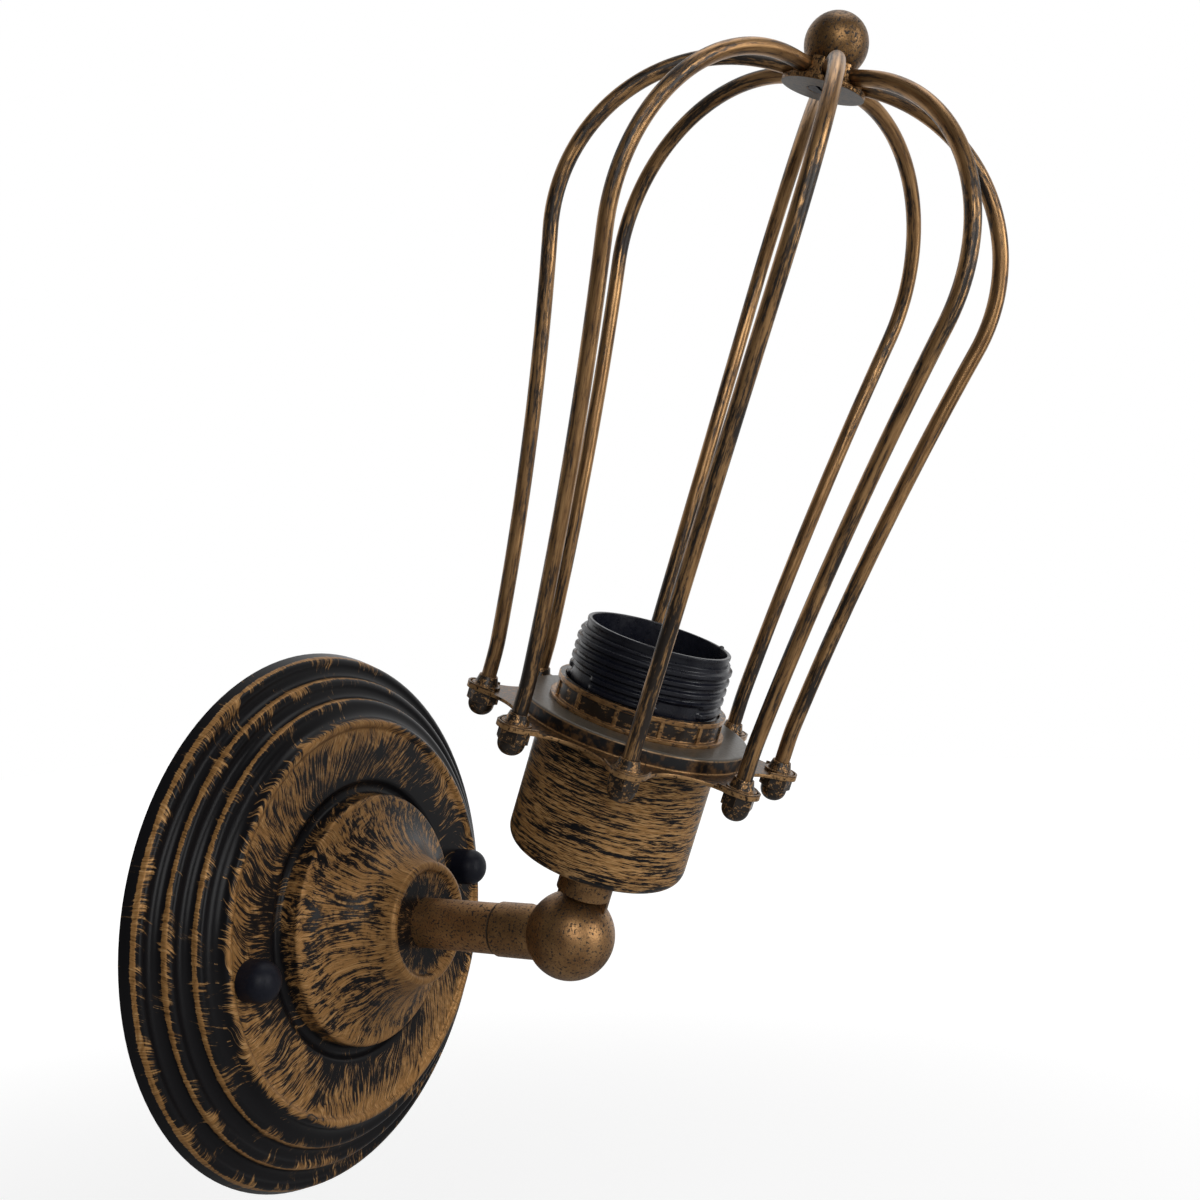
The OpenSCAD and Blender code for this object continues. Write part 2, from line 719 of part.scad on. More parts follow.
pivot_washer_t = 0.8;
pivot_head_sunk = 1;
pivot_head_clear = 0.5;
pivot_seat = ball_r - pivot_head_l - pivot_washer_t - pivot_head_sunk;
module knuckle_lamp_half() color(bronze) on_lamp()
    difference() {
        mirror([1, 0, 0]) knuckle_half();
        rotate([0, 90, 0]) cylinder(d = pivot_d + 2 * pivot_clear, h = ball_r);
        rotate([0, 90, 0])
            translate([0, 0, pivot_seat])
                cylinder(d = pivot_head_d + 2 * pivot_head_clear, h = ball_r);
    }

module pivot_screw() color(plated) at_ball()
    rotate([0, 90, 0])
        translate([0, 0, pivot_seat + pivot_washer_t])
            slotted_screw(pivot_d, pivot_seat + pivot_washer_t + pivot_grip - fit_gap, pivot_head_d,
                pivot_head_l);

module pivot_washer() color(plated) at_ball()
    rotate([0, 90, 0])
        translate([0, 0, pivot_seat]) ring(pivot_head_d, pivot_d + 2 * fit_gap, pivot_washer_t);

// Cup and lamp holder

module cup_nipple() color(plated) on_lamp()
    translate([0, 0, nipple_back_s]) ring(rod_d, rod_bore_d, nipple_front_s - nipple_back_s);

cup_corner = [cup_d / 2 - cup_corner_r, cup_s + cup_corner_r];
module lamp_cup() color(bronze) on_lamp()
    difference() {
        rotate_extrude()
            polygon(concat([[0, cup_s]], arc(cup_corner, cup_corner_r, -90, 0, 10),
                [[cup_d / 2, cup_top_s], [cup_d / 2 - cup_wall, cup_top_s]],
                arc(cup_corner, cup_corner_r - cup_wall, 0, -90, 10), [[0, cup_floor_s]]));
        cylinder(d = rod_d + 2 * fit_gap, h = cup_top_s);
    }

module cup_nut() color(plated) on_lamp()
    translate([0, 0, cup_floor_s]) hex_nut(rod_nut_af, rod_d + 2 * fit_gap, rod_nut_t);

core_gap = 0.3;
skirt_root_d = skirt_thread_d - 2 * thread_depth;
skirt_lip_d = skirt_root_d - 2 * skirt_lip_inset;
skirt_bore_d = skirt_root_d - 2 * skirt_wall;
module holder_base_cap() color(black_plastic) on_lamp()
    translate([0, 0, base_cap_s])
        difference() {
            cylinder(d = skirt_root_d, h = base_cap_h);
            translate([0, 0, base_cap_wall]) cylinder(d = skirt_bore_d, h = base_cap_h);
            translate([0, 0, -eps]) cylinder(d = rod_d + 2 * fit_gap, h = base_cap_h);
        }

shell_under_s = core_floor_s + shell_lift;
module holder_core() color(moulded) on_lamp()
    difference() {
        translate([0, 0, core_under_s])
            cylinder(d = skirt_bore_d - 2 * core_gap, h = shell_under_s + shell_l - core_under_s);
        // Half the thickness of the screw shell stands on this step
        translate([0, 0, core_floor_s]) cylinder(d = shell_bore_d + shell_wall, h = far);
        translate([0, 0, shell_under_s]) cylinder(d = shell_bore_d + 2 * shell_wall + 2 * fit_gap, h = far);
        for (side = [-1, 1])
            translate([side * terminal_out, 0, core_under_s - eps])
                cylinder(d = rivet_d + 2 * fit_gap, h = far);
    }

module screw_shell() color(brassy) on_lamp()
    translate([0, 0, shell_under_s])
        ring(shell_bore_d + 2 * shell_wall, shell_bore_d, shell_l);

// A bent strip: flat on the floor, then up to a raised pad below the screw shell
contact_w = 6;
contact_t = 0.6;
contact_half_l = 3;
contact_down = 0.4;
contact_rise = shell_lift - contact_down;
terminal_out = 8;
module centre_contact() color(brassy) on_lamp()
    translate([0, 0, core_floor_s])
        difference() {
            rotate([90, 0, 0])
                translate([0, 0, -contact_w / 2])
                    linear_extrude(contact_w)
                        polygon([[-terminal_out - contact_half_l, 0], [-terminal_out + contact_half_l, 0],
                            [contact_t - contact_half_l, contact_rise - contact_t],
                            [contact_half_l, contact_rise - contact_t], [contact_half_l, contact_rise],
                            [-contact_half_l, contact_rise],
                            [-terminal_out + contact_half_l - contact_t, contact_t],
                            [-terminal_out - contact_half_l, contact_t]]);
            translate([-terminal_out, 0, -eps]) cylinder(d = rivet_d + 2 * fit_gap, h = contact_rise);
        }

rivet_d = 2.4;
terminal_w = 6;
terminal_h = 4;
terminal_s = core_under_s - terminal_h;
lead_entry = 1.5;
terminal_bend_r = 2.4;
module holder_terminals() color(brassy) on_lamp()
    for (side = [-1, 1])
        translate([side * terminal_out, 0, terminal_s]) {
            difference() {
                translate([-terminal_w / 2, -terminal_w / 2, 0]) cube([terminal_w, terminal_w, terminal_h]);
                translate([-side * terminal_w / 2, 0, terminal_h / 2])
                    rotate([0, side * 90, 0])
                        translate([0, 0, -eps])
                            cylinder(d = lead_d + 2 * fit_gap, h = lead_entry + fit_gap);
            }
            translate([0, 0, terminal_h - eps]) cylinder(d = rivet_d, h = core_floor_t + contact_t + 2 * eps);
        }

// Two leads come up out of the nipple and bend out to the terminals
module holder_leads() color(black_plastic) on_lamp()
    for (side = [-1, 1])
        translate([0, 0, terminal_s + terminal_h / 2])
            mirror([0, 0, 1])
                lead([side * (terminal_out - terminal_w / 2 + lead_entry), 0], [side * lead_side, 0], 0,
                    terminal_bend_r, terminal_s + terminal_h / 2 - nipple_back_s);

// The skirt's wall and the rings of its thread, crest by crest
thread_top_s = skirt_top_s - skirt_lip_h;
thread_turns = floor((thread_top_s - disc_s) / thread_pitch);
module holder_skirt() color(black_plastic) on_lamp()
    difference() {
        union() {
            translate([0, 0, skirt_s]) cylinder(d = skirt_root_d, h = thread_top_s - skirt_s);
            translate([0, 0, thread_top_s - eps]) cylinder(d = skirt_lip_d, h = skirt_lip_h + eps);
            for (turn = [1:thread_turns])
                translate([0, 0, thread_top_s - turn * thread_pitch]) thread_crest();
        }
        translate([0, 0, skirt_s - eps]) cylinder(d = skirt_bore_d, h = far);
        smooth_panels();
    }

crest_flat_w = 0.5;
crest_flank_w = 0.9;
module thread_crest()
    rotate_extrude()
        polygon([[skirt_root_d / 2 - eps, 0], [skirt_thread_d / 2, crest_flank_w],
            [skirt_thread_d / 2, crest_flank_w + crest_flat_w],
            [skirt_root_d / 2 - eps, 2 * crest_flank_w + crest_flat_w]]);

module smooth_panels()
    for (i = [0:panels - 1])
        rotate(i * 360 / panels + panel_turn)
            translate([0, 0, disc_s])
                rotate_extrude(angle = panel_angle)
                    translate([skirt_root_d / 2, 0]) square([2 * thread_depth, panel_h]);

ring_gap = 0.2;
ring_bore_d = skirt_thread_d + 2 * ring_gap;
ring_d = ring_bore_d + 2 * ring_wall;
module shade_ring() color(bronze) on_lamp()
    translate([0, 0, disc_s])
        difference() {
            union() {
                cylinder(d = ring_d + 2 * ring_foot_out, h = ring_foot_h);
                cylinder(d = ring_d - 2 * ring_panel_depth, h = ring_h);
                translate([0, 0, ring_h - ring_band_h]) cylinder(d = ring_d, h = ring_band_h);
                intersection() {
                    cylinder(d = ring_d, h = ring_h);
                    for (i = [0:ring_ribs - 1])
                        rotate(i * 360 / ring_ribs + ring_turn)
                            translate([0, -ring_rib_w / 2, 0]) cube([ring_d, ring_rib_w, ring_h]);
                }
            }
            translate([0, 0, -eps]) cylinder(d = ring_bore_d, h = ring_h + 2 * eps);
        }

// Cage

// The flange's outline: ears joined by hollow scallops that run into them without a corner
step_angle = 360 / wires;
ear_in_line = ear_circle_d / 2 * cos(step_angle / 2) - flange_root_d / 2;
ear_aside = ear_circle_d / 2 * sin(step_angle / 2);
function scallop_r(ear_r) =
    (ear_in_line * ear_in_line + ear_aside * ear_aside - ear_r * ear_r) / (2 * (ear_in_line + ear_r));

// Inset keeps the same centres, so that the lip has one thickness
function flange_outline(inset) =
    let (
        full_r = scallop_r(ear_d / 2),
        scallop_out = flange_root_d / 2 + full_r,
        meet = atan2(ear_aside, scallop_out - ear_in_line - flange_root_d / 2)
    )
    [for (number = [1:wires])
        let (
            along = wire_angle(number),
            between = along + step_angle / 2,
            ear = ear_circle_d / 2 * [cos(along), sin(along)],
            scallop = scallop_out * [cos(between), sin(between)],
            ear_end = step_angle / 2 + meet
        )
        each concat(
            arc(ear, ear_d / 2 - inset, along - ear_end + step_angle, along + ear_end - step_angle, 14),
            arc(scallop, full_r + inset, between + 180 + meet, between + 180 - meet, 12))];

module flange_plate(inset, h) linear_extrude(h) polygon(flange_outline(inset));

module cage_base() color(bronze) on_lamp()
    difference() {
        union() {
            translate([0, 0, flange_s]) flange_plate(0, disc_t);
            translate([0, 0, flange_s]) disc_shell();
            ear_lips();
        }
        translate([0, 0, flange_s - eps])
            cylinder(d = disc_d - 2 * disc_t, h = disc_s - disc_t - flange_s + eps);
        translate([0, 0, flange_s]) cylinder(d = ring_bore_d, h = far);
        at_ears() translate([0, 0, flange_s - eps]) cylinder(d = wire_d + 2 * fit_gap, h = disc_t + 2 * eps);
    }

module disc_shell() {
    disc_h = disc_s - flange_s;
    rotate_extrude()
        polygon(concat([[0, 0], [disc_d / 2, 0]],
            arc([disc_d / 2 - disc_edge_r, disc_h - disc_edge_r], disc_edge_r, 0, 90, 6), [[0, disc_h]]));
}

module ear_lips()
    intersection() {
        translate([0, 0, flange_s])
            difference() {
                flange_plate(0, disc_t + ear_lip_h);
                translate([0, 0, -eps]) flange_plate(ear_lip_t, disc_t + ear_lip_h + 2 * eps);
            }
        at_ears() translate([0, 0, flange_s]) cylinder(d = ear_d + 2 * ear_lip_span, h = disc_t + ear_lip_h);
    }

collar_tip_wall = 0.45;
module wire_collars() color(bronze) on_lamp()
    at_ears() translate([0, 0, flange_top_s])
        difference() {
            rotate_extrude()
                polygon([[0, 0], [collar_d / 2, 0], [collar_d / 2, collar_foot_h],
                    [wire_d / 2 + collar_wall, collar_foot_h], [wire_d / 2 + collar_tip_wall, collar_h],
                    [0, collar_h]]);
            translate([0, 0, -eps]) cylinder(d = wire_d + 2 * fit_gap, h = collar_h + 2 * eps);
        }

wire_nut_end_wall = 1.6;
wire_nut_dome_r = 3;
wire_nut_dome_in = 0.2;
wire_tail = wire_nut_h - wire_nut_end_wall;
module wire_nuts() color(bronze) on_lamp()
    at_ears() translate([0, 0, flange_s]) mirror([0, 0, 1])
        difference() {
            union() {
                cylinder(d = wire_nut_af / cos(30), h = wire_nut_hex_h, $fn = 6);
                dome(wire_nut_af - 2 * wire_nut_dome_in, wire_nut_h, wire_nut_dome_r);
            }
            translate([0, 0, -eps]) cylinder(d = wire_d + 2 * fit_gap, h = wire_tail + fit_gap);
        }

// A wire's path: foot, bend, long bow, shoulder, level end. Slopes are outwards from upright.
shoulder_slope = asin((wire_hub_s - flange_top_s - wire_foot_h - wire_shoulder_r
    + (wire_bow_r - wire_foot_bend_r) * sin(wire_foot_slope)) / (wire_bow_r + wire_shoulder_r));
foot_top = [ear_circle_d / 2, flange_top_s + wire_foot_h];
foot_bend_centre = foot_top + [wire_foot_bend_r, 0];
bow_foot = foot_bend_centre + wire_foot_bend_r * [-cos(wire_foot_slope), sin(wire_foot_slope)];
bow_centre = bow_foot + wire_bow_r * [cos(wire_foot_slope), -sin(wire_foot_slope)];
bow_top = bow_centre + wire_bow_r * [-cos(shoulder_slope), sin(shoulder_slope)];
shoulder_centre = bow_top + wire_shoulder_r * [-cos(shoulder_slope), sin(shoulder_slope)];

// Points along the wire's middle, each with the slope there
wire_path = concat(
    [[foot_top[0], flange_s - wire_tail, 0]],
    [for (i = [0:3]) let (slope = wire_foot_slope * i / 3)
        path_point(foot_bend_centre, -wire_foot_bend_r, slope)],
    [for (i = [1:8]) let (slope = wire_foot_slope + (shoulder_slope - wire_foot_slope) * i / 8)
        path_point(bow_centre, -wire_bow_r, slope)],
    [for (i = [1:16]) let (slope = shoulder_slope - (shoulder_slope + 90) * i / 16)
        path_point(shoulder_centre, wire_shoulder_r, slope)],
    [[wire_end_r, wire_hub_s, -90]]);

// A negative r bends the wire outwards and a positive one inwards
function path_point(centre, r, slope) = [centre[0] + r * cos(slope), centre[1] - r * sin(slope), slope];

wire_sides = 12;
module tube_along(path) {
    last = len(path) - 1;
    points = [for (stop = path, i = [0:wire_sides - 1])
        let (
            turn = 360 * i / wire_sides,
            out = wire_d / 2 * cos(turn)
        )
        [stop[0] + out * cos(stop[2]), wire_d / 2 * sin(turn), stop[1] - out * sin(stop[2])]];
    side_faces = [for (ring = [0:last - 1], i = [0:wire_sides - 1])
        let (next = (i + 1) % wire_sides)
        [ring * wire_sides + i, (ring + 1) * wire_sides + i, (ring + 1) * wire_sides + next,
            ring * wire_sides + next]];
    ends = [[for (i = [0:wire_sides - 1]) i], [for (i = [wire_sides - 1:-1:0]) last * wire_sides + i]];
    polyhedron(points, concat(ends, side_faces));
}

module cage_wire(number) color(bronze) on_lamp()
    rotate(wire_angle(number)) tube_along(wire_path);

module cage_wire_1() cage_wire(1);
module cage_wire_2() cage_wire(2);
module cage_wire_3() cage_wire(3);
module cage_wire_4() cage_wire(4);
module cage_wire_5() cage_wire(5);
module cage_wire_6() cage_wire(6);
module cage_wire_7() cage_wire(7);
module cage_wire_8() cage_wire(8);

module cage_hub() color(bronze) on_lamp()
    difference() {
        translate([0, 0, hub_s]) {
            cylinder(d = hub_flange_d, h = hub_flange_t);
            cylinder(d = hub_body_d, h = hub_h);
        }
        // Each wire's end lies in a notch that is open at the top
        for (number = [1:wires])
            rotate(wire_angle(number))
                translate([wire_end_r - fit_gap, 0, wire_hub_s]) {
                    rotate([0, 90, 0]) cylinder(d = wire_d + 2 * fit_gap, h = hub_flange_d);
                    translate([0, -wire_d / 2 - fit_gap, 0])
                        cube([hub_flange_d, wire_d + 2 * fit_gap, hub_h]);
                }
        translate([0, 0, hub_s - eps]) cylinder(d = hub_screw_d + 2 * fit_gap, h = hub_h + 2 * eps);
        translate([0, 0, hub_s - eps])
            cylinder(d = hub_screw_head_d + 4 * fit_gap, h = hub_screw_head_h + eps);
    }

module hub_screw() color(plated) on_lamp()
    translate([0, 0, hub_s + hub_screw_head_h]) mirror([0, 0, 1])
        slotted_screw(hub_screw_d, hub_h - hub_screw_head_h + hub_screw_reach, hub_screw_head_d,
            hub_screw_head_h);

module finial_ball() color(bronze) on_lamp()
    difference() {
        translate([0, 0, finial_s]) sphere(d = finial_d);
        translate([-far / 2, -far / 2, hub_top_s - far]) cube([far, far, far]);
        translate([0, 0, hub_top_s - eps])
            cylinder(d = hub_screw_d + 2 * fit_gap, h = hub_screw_reach + fit_gap);
    }

wall_plate();
wall_strap();
strap_studs();
stud_nuts();
cap_nuts();
earth_screw();
earth_washer();
connector_block();
connector_screws();
block_screw();
arm_rod();
rod_washer();
earth_tag();
rod_nut();
arm_tube();
knuckle_arm_half();
knuckle_lamp_half();
pivot_screw();
pivot_washer();
supply_leads();
earth_lead();
cup_nipple();
lamp_cup();
cup_nut();
holder_base_cap();
holder_core();
screw_shell();
centre_contact();
holder_terminals();
holder_leads();
holder_skirt();
shade_ring();
cage_base();
wire_collars();
wire_nuts();
cage_wire_1();
cage_wire_2();
cage_wire_3();
cage_wire_4();
cage_wire_5();
cage_wire_6();
cage_wire_7();
cage_wire_8();
cage_hub();
hub_screw();
finial_ball();
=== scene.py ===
"""Cage wall light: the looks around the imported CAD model, in metres, in the model's own frame.

Z is up, the wall is the plane y = 0, and the light stands out towards -Y.
"""
import math

import bmesh
import bpy
from mathutils import Matrix, Vector


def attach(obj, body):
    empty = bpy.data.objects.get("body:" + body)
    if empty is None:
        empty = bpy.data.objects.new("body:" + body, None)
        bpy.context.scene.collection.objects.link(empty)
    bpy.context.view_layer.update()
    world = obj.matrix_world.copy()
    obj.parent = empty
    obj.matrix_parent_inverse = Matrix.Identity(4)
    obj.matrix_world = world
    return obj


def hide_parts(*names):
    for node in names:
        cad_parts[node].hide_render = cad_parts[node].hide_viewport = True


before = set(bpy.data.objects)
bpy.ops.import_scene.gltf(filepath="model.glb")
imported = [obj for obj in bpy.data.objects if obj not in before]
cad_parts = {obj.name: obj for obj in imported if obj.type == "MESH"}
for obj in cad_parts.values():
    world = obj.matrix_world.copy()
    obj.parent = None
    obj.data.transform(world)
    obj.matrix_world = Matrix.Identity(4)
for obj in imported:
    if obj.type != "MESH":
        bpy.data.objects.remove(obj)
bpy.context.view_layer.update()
MM = 0.001

# ---------------------------------------------------------------- sizes shared with the CAD model

KNUCKLE = Vector((0, -82 * MM, 0))
LEAN = math.radians(21)
PLATE_R = 75 * MM
RIDGES_R = 57.2 * MM
RIDGE_STEP = 6 * MM
RIDGE_RISE = 4 * MM
RIDGE_MIDDLE_H = 2.9 * MM
ARM_JOINT_H = 60.4 * MM

DISC_S = 61 * MM
DISC_DROP = 3.8 * MM
DISC_T = 0.8 * MM
RING_R = 21.7 * MM

SKIRT_CREST_R = 19.9 * MM
SKIRT_ROOT_R = 19.0 * MM
SKIRT_LIP_R = 18.4 * MM
SKIRT_BORE_R = 17.5 * MM
SKIRT_LIP_H = 2.3 * MM
SKIRT_TOP_S = DISC_S + 21.3 * MM
SKIRT_FOOT_S = 35.6 * MM
THREAD_PITCH = 2.5 * MM
PANEL_TOP_S = DISC_S + 9 * MM
PANEL_HALF = math.radians(17)
PANEL_MIDS = [math.radians(54 + 90 * i) for i in range(4)]
NUB_TURN = math.radians(322)
NUB_HALF = math.radians(2.4)
NUB_H = 0.5 * MM

WIRES = 8
WIRE_R = 1.9 * MM
CAGE_TURN = math.radians(26.5)
EAR_R = 38.5 * MM
WIRE_FOOT_H = 8 * MM
WIRE_BEND_R = 60 * MM
WIRE_FOOT_SLOPE = math.radians(4.8)
WIRE_BOW_R = 850 * MM
WIRE_SHOULDER_R = 42 * MM
WIRE_HUB_S = DISC_S + 159.3 * MM
WIRE_END_R = 6 * MM
WIRE_TAIL = 5 * MM
FLANGE_TOP_S = DISC_S - DISC_DROP

# ---------------------------------------------------------------- frames of reference

TO_WORLD_FROM_LAMP = Matrix.Translation(KNUCKLE) @ Matrix.Rotation(LEAN, 4, "X")
LAMP_UP = TO_WORLD_FROM_LAMP.to_3x3() @ Vector((0, 0, 1))
WALL_OUT = (0, -1, 0)
WALL_TURN = math.radians(90)


# ---------------------------------------------------------------- shader helpers

# Most of a noise's values lie in the first span, and its middle ones in the second
NOISE_SPAN = (0.3, 0.7)
SHADE_SPAN = (0.35, 0.65)


class Graph:
    """A node tree under construction; most methods add a node and give back its output socket."""

    def __init__(self, tree):
        self.nodes = tree.nodes
        self.links = tree.links

    def put(self, socket, value):
        if isinstance(value, bpy.types.NodeSocket):
            self.links.new(value, socket)
        elif isinstance(value, tuple) and len(value) == 3 and len(socket.default_value) == 4:
            socket.default_value = (*value, 1)
        else:
            socket.default_value = value

    def node(self, kind, inputs=(), **settings):
        made = self.nodes.new(kind)
        for name, value in settings.items():
            setattr(made, name, value)
        for key, value in dict(inputs).items():
            self.put(made.inputs[key], value)
        return made

    def math(self, operation, a, b=0.0):
        return self.node("ShaderNodeMath", {0: a, 1: b}, operation=operation).outputs[0]

    def total(self, *values):
        result = values[0]
        for value in values[1:]:
            result = self.math("ADD", result, value)
        return result

    def times(self, a, b):
        return self.math("MULTIPLY", a, b)

    def less(self, a, b):
        return self.math("SUBTRACT", a, b)

    def vector(self, operation, a, b=(0, 0, 0)):
        made = self.node("ShaderNodeVectorMath", {0: a, 1: b}, operation=operation)
        return made.outputs["Value" if operation in ("LENGTH", "DOT_PRODUCT") else "Vector"]

    def scaled(self, vector, by):
        made = self.node("ShaderNodeVectorMath", {0: vector, "Scale": by}, operation="SCALE")
        return made.outputs[0]

    def turned(self, vector, angle, about):
        inputs = {"Vector": vector, "Angle": angle}
        return self.node("ShaderNodeVectorRotate", inputs, rotation_type=about).outputs[0]

    def combine(self, x, y, z):
        return self.node("ShaderNodeCombineXYZ", {0: x, 1: y, 2: z}).outputs[0]

    def along_z(self, vector):
        return self.node("ShaderNodeSeparateXYZ", {0: vector}).outputs[2]

    def coordinates(self, kind):
        return self.node("ShaderNodeTexCoord").outputs[kind]

    def noise(self, at, scale=1.0, detail=3.0, roughness=0.6, distortion=0.0):
        return self.node("ShaderNodeTexNoise", {
            "Vector": at, "Scale": scale, "Detail": detail, "Roughness": roughness,
            "Distortion": distortion}).outputs["Fac"]

    def smooth(self, value, low, high, out_low=0.0, out_high=1.0):
        return self.node("ShaderNodeMapRange", {
            "Value": value, "From Min": low, "From Max": high, "To Min": out_low,
            "To Max": out_high}, interpolation_type="SMOOTHSTEP").outputs[0]

    def linear(self, value, low, high, out_low=0.0, out_high=1.0):
        return self.node("ShaderNodeMapRange", {
            "Value": value, "From Min": low, "From Max": high, "To Min": out_low,
            "To Max": out_high}).outputs[0]

    def swing(self, noise, by):
        """A noise spread out to run from -by to by."""
        return self.linear(noise, *NOISE_SPAN, -by, by)

    def shade(self, noise, low=0.0, high=1.0):
        """A noise's middle values spread out to run from low to high."""
        return self.linear(noise, *SHADE_SPAN, low, high)

    def curve(self, value, stops, reach):
        """A value that runs through stops, (place, level), where place is from 0 to reach."""
        made = self.node("ShaderNodeValToRGB", {0: self.math("DIVIDE", value, reach)})
        ramp = made.color_ramp
        while len(ramp.elements) < len(stops):
            ramp.elements.new(0.5)
        for element, (place, level) in zip(ramp.elements, stops):
            element.position = place / reach
            element.color = (level, level, level, 1)
        return made.outputs["Color"]

    def mix(self, factor, a, b):
        made = self.node("ShaderNodeMix", data_type="RGBA")
        self.put(made.inputs["Factor"], factor)
        self.put(made.inputs[6], a)
        self.put(made.inputs[7], b)
        return made.outputs[2]

    def mix_value(self, factor, a, b):
        made = self.node("ShaderNodeMix", data_type="FLOAT")
        self.put(made.inputs["Factor"], factor)
        self.put(made.inputs[2], a)
        self.put(made.inputs[3], b)
        return made.outputs[0]

    def seen_white(self):
        """The light path, and 1 for the rays that see the background as itself."""
        path = self.node("ShaderNodeLightPath").outputs
        return path, self.math("MAXIMUM", path["Is Camera Ray"], path["Is Transmission Ray"])


class Shader(Graph):
    """The node tree of a new material."""

    def __init__(self, name):
        self.material = bpy.data.materials.new(name)
        self.material.use_nodes = True
        super().__init__(self.material.node_tree)

    def facing(self):
        return self.coordinates("Normal")

    def rounded(self, radius):
        """The surface's normal with its sharp edges rounded off to a radius."""
        return self.node("ShaderNodeBevel", {"Radius": radius}, samples=6).outputs[0]

    def edges(self, rounded, low=0.80, high=0.97):
        """1 along sharp edges, from how far the rounded normal leaves the plain one."""
        plain = self.node("ShaderNodeNewGeometry").outputs["Normal"]
        return self.smooth(self.vector("DOT_PRODUCT", plain, rounded), low, high, 1.0, 0.0)

    def bump(self, height, distance, strength, under=None):
        inputs = {"Height": height, "Distance": distance, "Strength": strength}
        if under is not None:
            inputs["Normal"] = under
        return self.node("ShaderNodeBump", inputs).outputs[0]

    def finish(self, **inputs):
        for name, value in inputs.items():
            self.put(self.nodes["Principled BSDF"].inputs[name.replace("_", " ")], value)
        return self.material


class Place:
    """Where a point lies about an axis: out from it, round it and along it, in millimetres."""

    def __init__(self, shader, on_lamp):
        self.shader = shader
        turned = shader.node("ShaderNodeMapping", {
            "Vector": shader.coordinates("Object"),
            "Location": KNUCKLE if on_lamp else (0, 0, 0),
            "Rotation": (LEAN if on_lamp else WALL_TURN, 0, 0)},
            vector_type="TEXTURE").outputs[0]
        self.point = shader.scaled(turned, 1 / MM)
        flat = shader.vector("MULTIPLY", self.point, (1, 1, 0))
        self.radius = shader.vector("LENGTH", flat)
        self.round = shader.vector("NORMALIZE", flat)
        self.height = shader.along_z(self.point)

    def spots(self, scale, detail, roughness, distortion=0.0):
        """Noise with no direction."""
        return self.shader.noise(self.point, scale, detail, roughness, distortion)

    def streaks_out(self, fine, stretch, detail, roughness, shift=0.0, turn=0.0):
        """Noise in streaks that run out from the axis, turned a little by turn."""
        shader = self.shader
        across = shader.scaled(shader.turned(self.round, turn, "Z_AXIS"), fine)
        along = shader.times(shader.total(self.radius, self.height), stretch)
        at = shader.vector("ADD", across, shader.combine(shift, 0.0, along))
        return shader.noise(at, detail=detail, roughness=roughness)

    def streaks_round(self, fine, stretch, detail, roughness, shift=0.0, waver=0.0):
        """Noise in streaks that run round the axis, wandering a little by waver."""
        shader = self.shader
        along = shader.scaled(self.round, stretch)
        level = shader.total(shader.less(self.height, self.radius), waver)
        at = shader.vector("ADD", along, shader.combine(shift, 0.0, shader.times(level, fine)))
        return shader.noise(at, detail=detail, roughness=roughness)


# ---------------------------------------------------------------- colours

BLACK = (0.0055, 0.0052, 0.0060)
GOLD = (0.290, 0.148, 0.050)
GOLD_PALE = (0.470, 0.275, 0.115)
GOLD_DEEP = (0.105, 0.052, 0.018)
BRONZE = (0.225, 0.112, 0.044)
BRONZE_PALE = (0.430, 0.245, 0.104)
BRONZE_DARK = (0.016, 0.010, 0.006)
# The finial's pale bronze, darker than the rest as painted shade
FINIAL_PALE_SHADED = (0.34, 0.19, 0.075)
GREY_SATIN = (0.085, 0.072, 0.056)
PLASTIC = (0.0080, 0.0088, 0.0150)
PLASTIC_DARK = (0.0035, 0.0040, 0.0075)
ZINC = (0.62, 0.63, 0.64)
BRASS = (0.72, 0.52, 0.22)
NYLON = (0.80, 0.78, 0.72)
PORCELAIN = (0.78, 0.77, 0.73)
LEAD_BLACK = (0.02, 0.02, 0.022)
LEAD_GREEN = (0.16, 0.38, 0.06)


def darker(colour, share):
    return tuple(part * share for part in colour)


# ---------------------------------------------------------------- gilt paint: the plate and the cup

# How far, as bump, the gold stands out of the black on painted, drawn and mottled metal
PAINT_T = 0.10 * MM
WIRE_GILT_T = 0.04 * MM
MOTTLED_GILT_T = 0.08 * MM


def gilt_black(shader, gold, tone):
    """Blackened metal under gold paint: gold is 1 where the paint is, and tone its shade."""
    paint = shader.mix(shader.smooth(tone, 0.0, 0.5), GOLD_DEEP, GOLD)
    paint = shader.mix(shader.smooth(tone, 0.55, 1.0), paint, GOLD_PALE)
    return shader.finish(
        Base_Color=shader.mix(gold, BLACK, paint),
        Metallic=shader.mix_value(gold, 0.0, 0.35),
        Roughness=shader.mix_value(gold, 0.30, 0.44),
        Specular_IOR_Level=0.13,
        Normal=shader.bump(gold, PAINT_T, 0.4))


# Radius in mm with the share of gold paint there, from the dish out to the first ridge's foot; in
# the dish, below 13.6 mm, the low share is in part painted shade
PLATE_COVER_AND_DISH_SHADE = [(0, 0.08), (11.5, 0.14), (13.6, 0.48), (15.0, 0.92), (16.9, 0.96), (18.6, 0.58),
               (31.0, 0.52), (33.4, 0.84), (34.4, 0.70), (35.0, 0.04), (38.6, 0.0),
               (40.0, 0.30), (44.0, 0.46), (50.0, 0.56), (53.0, 0.86), (54.6, 1.0),
               (55.6, 0.60), (56.4, 0.05)]
# The same across one ridge, from its inner foot over the crest, at 3 mm, to its outer foot
RIDGE_COVER = [(0, 0.10), (1.4, 0.10), (2.6, 0.26), (3.8, 0.38), (4.6, 0.30), (5.0, 0.06),
               (6.0, 0.08)]
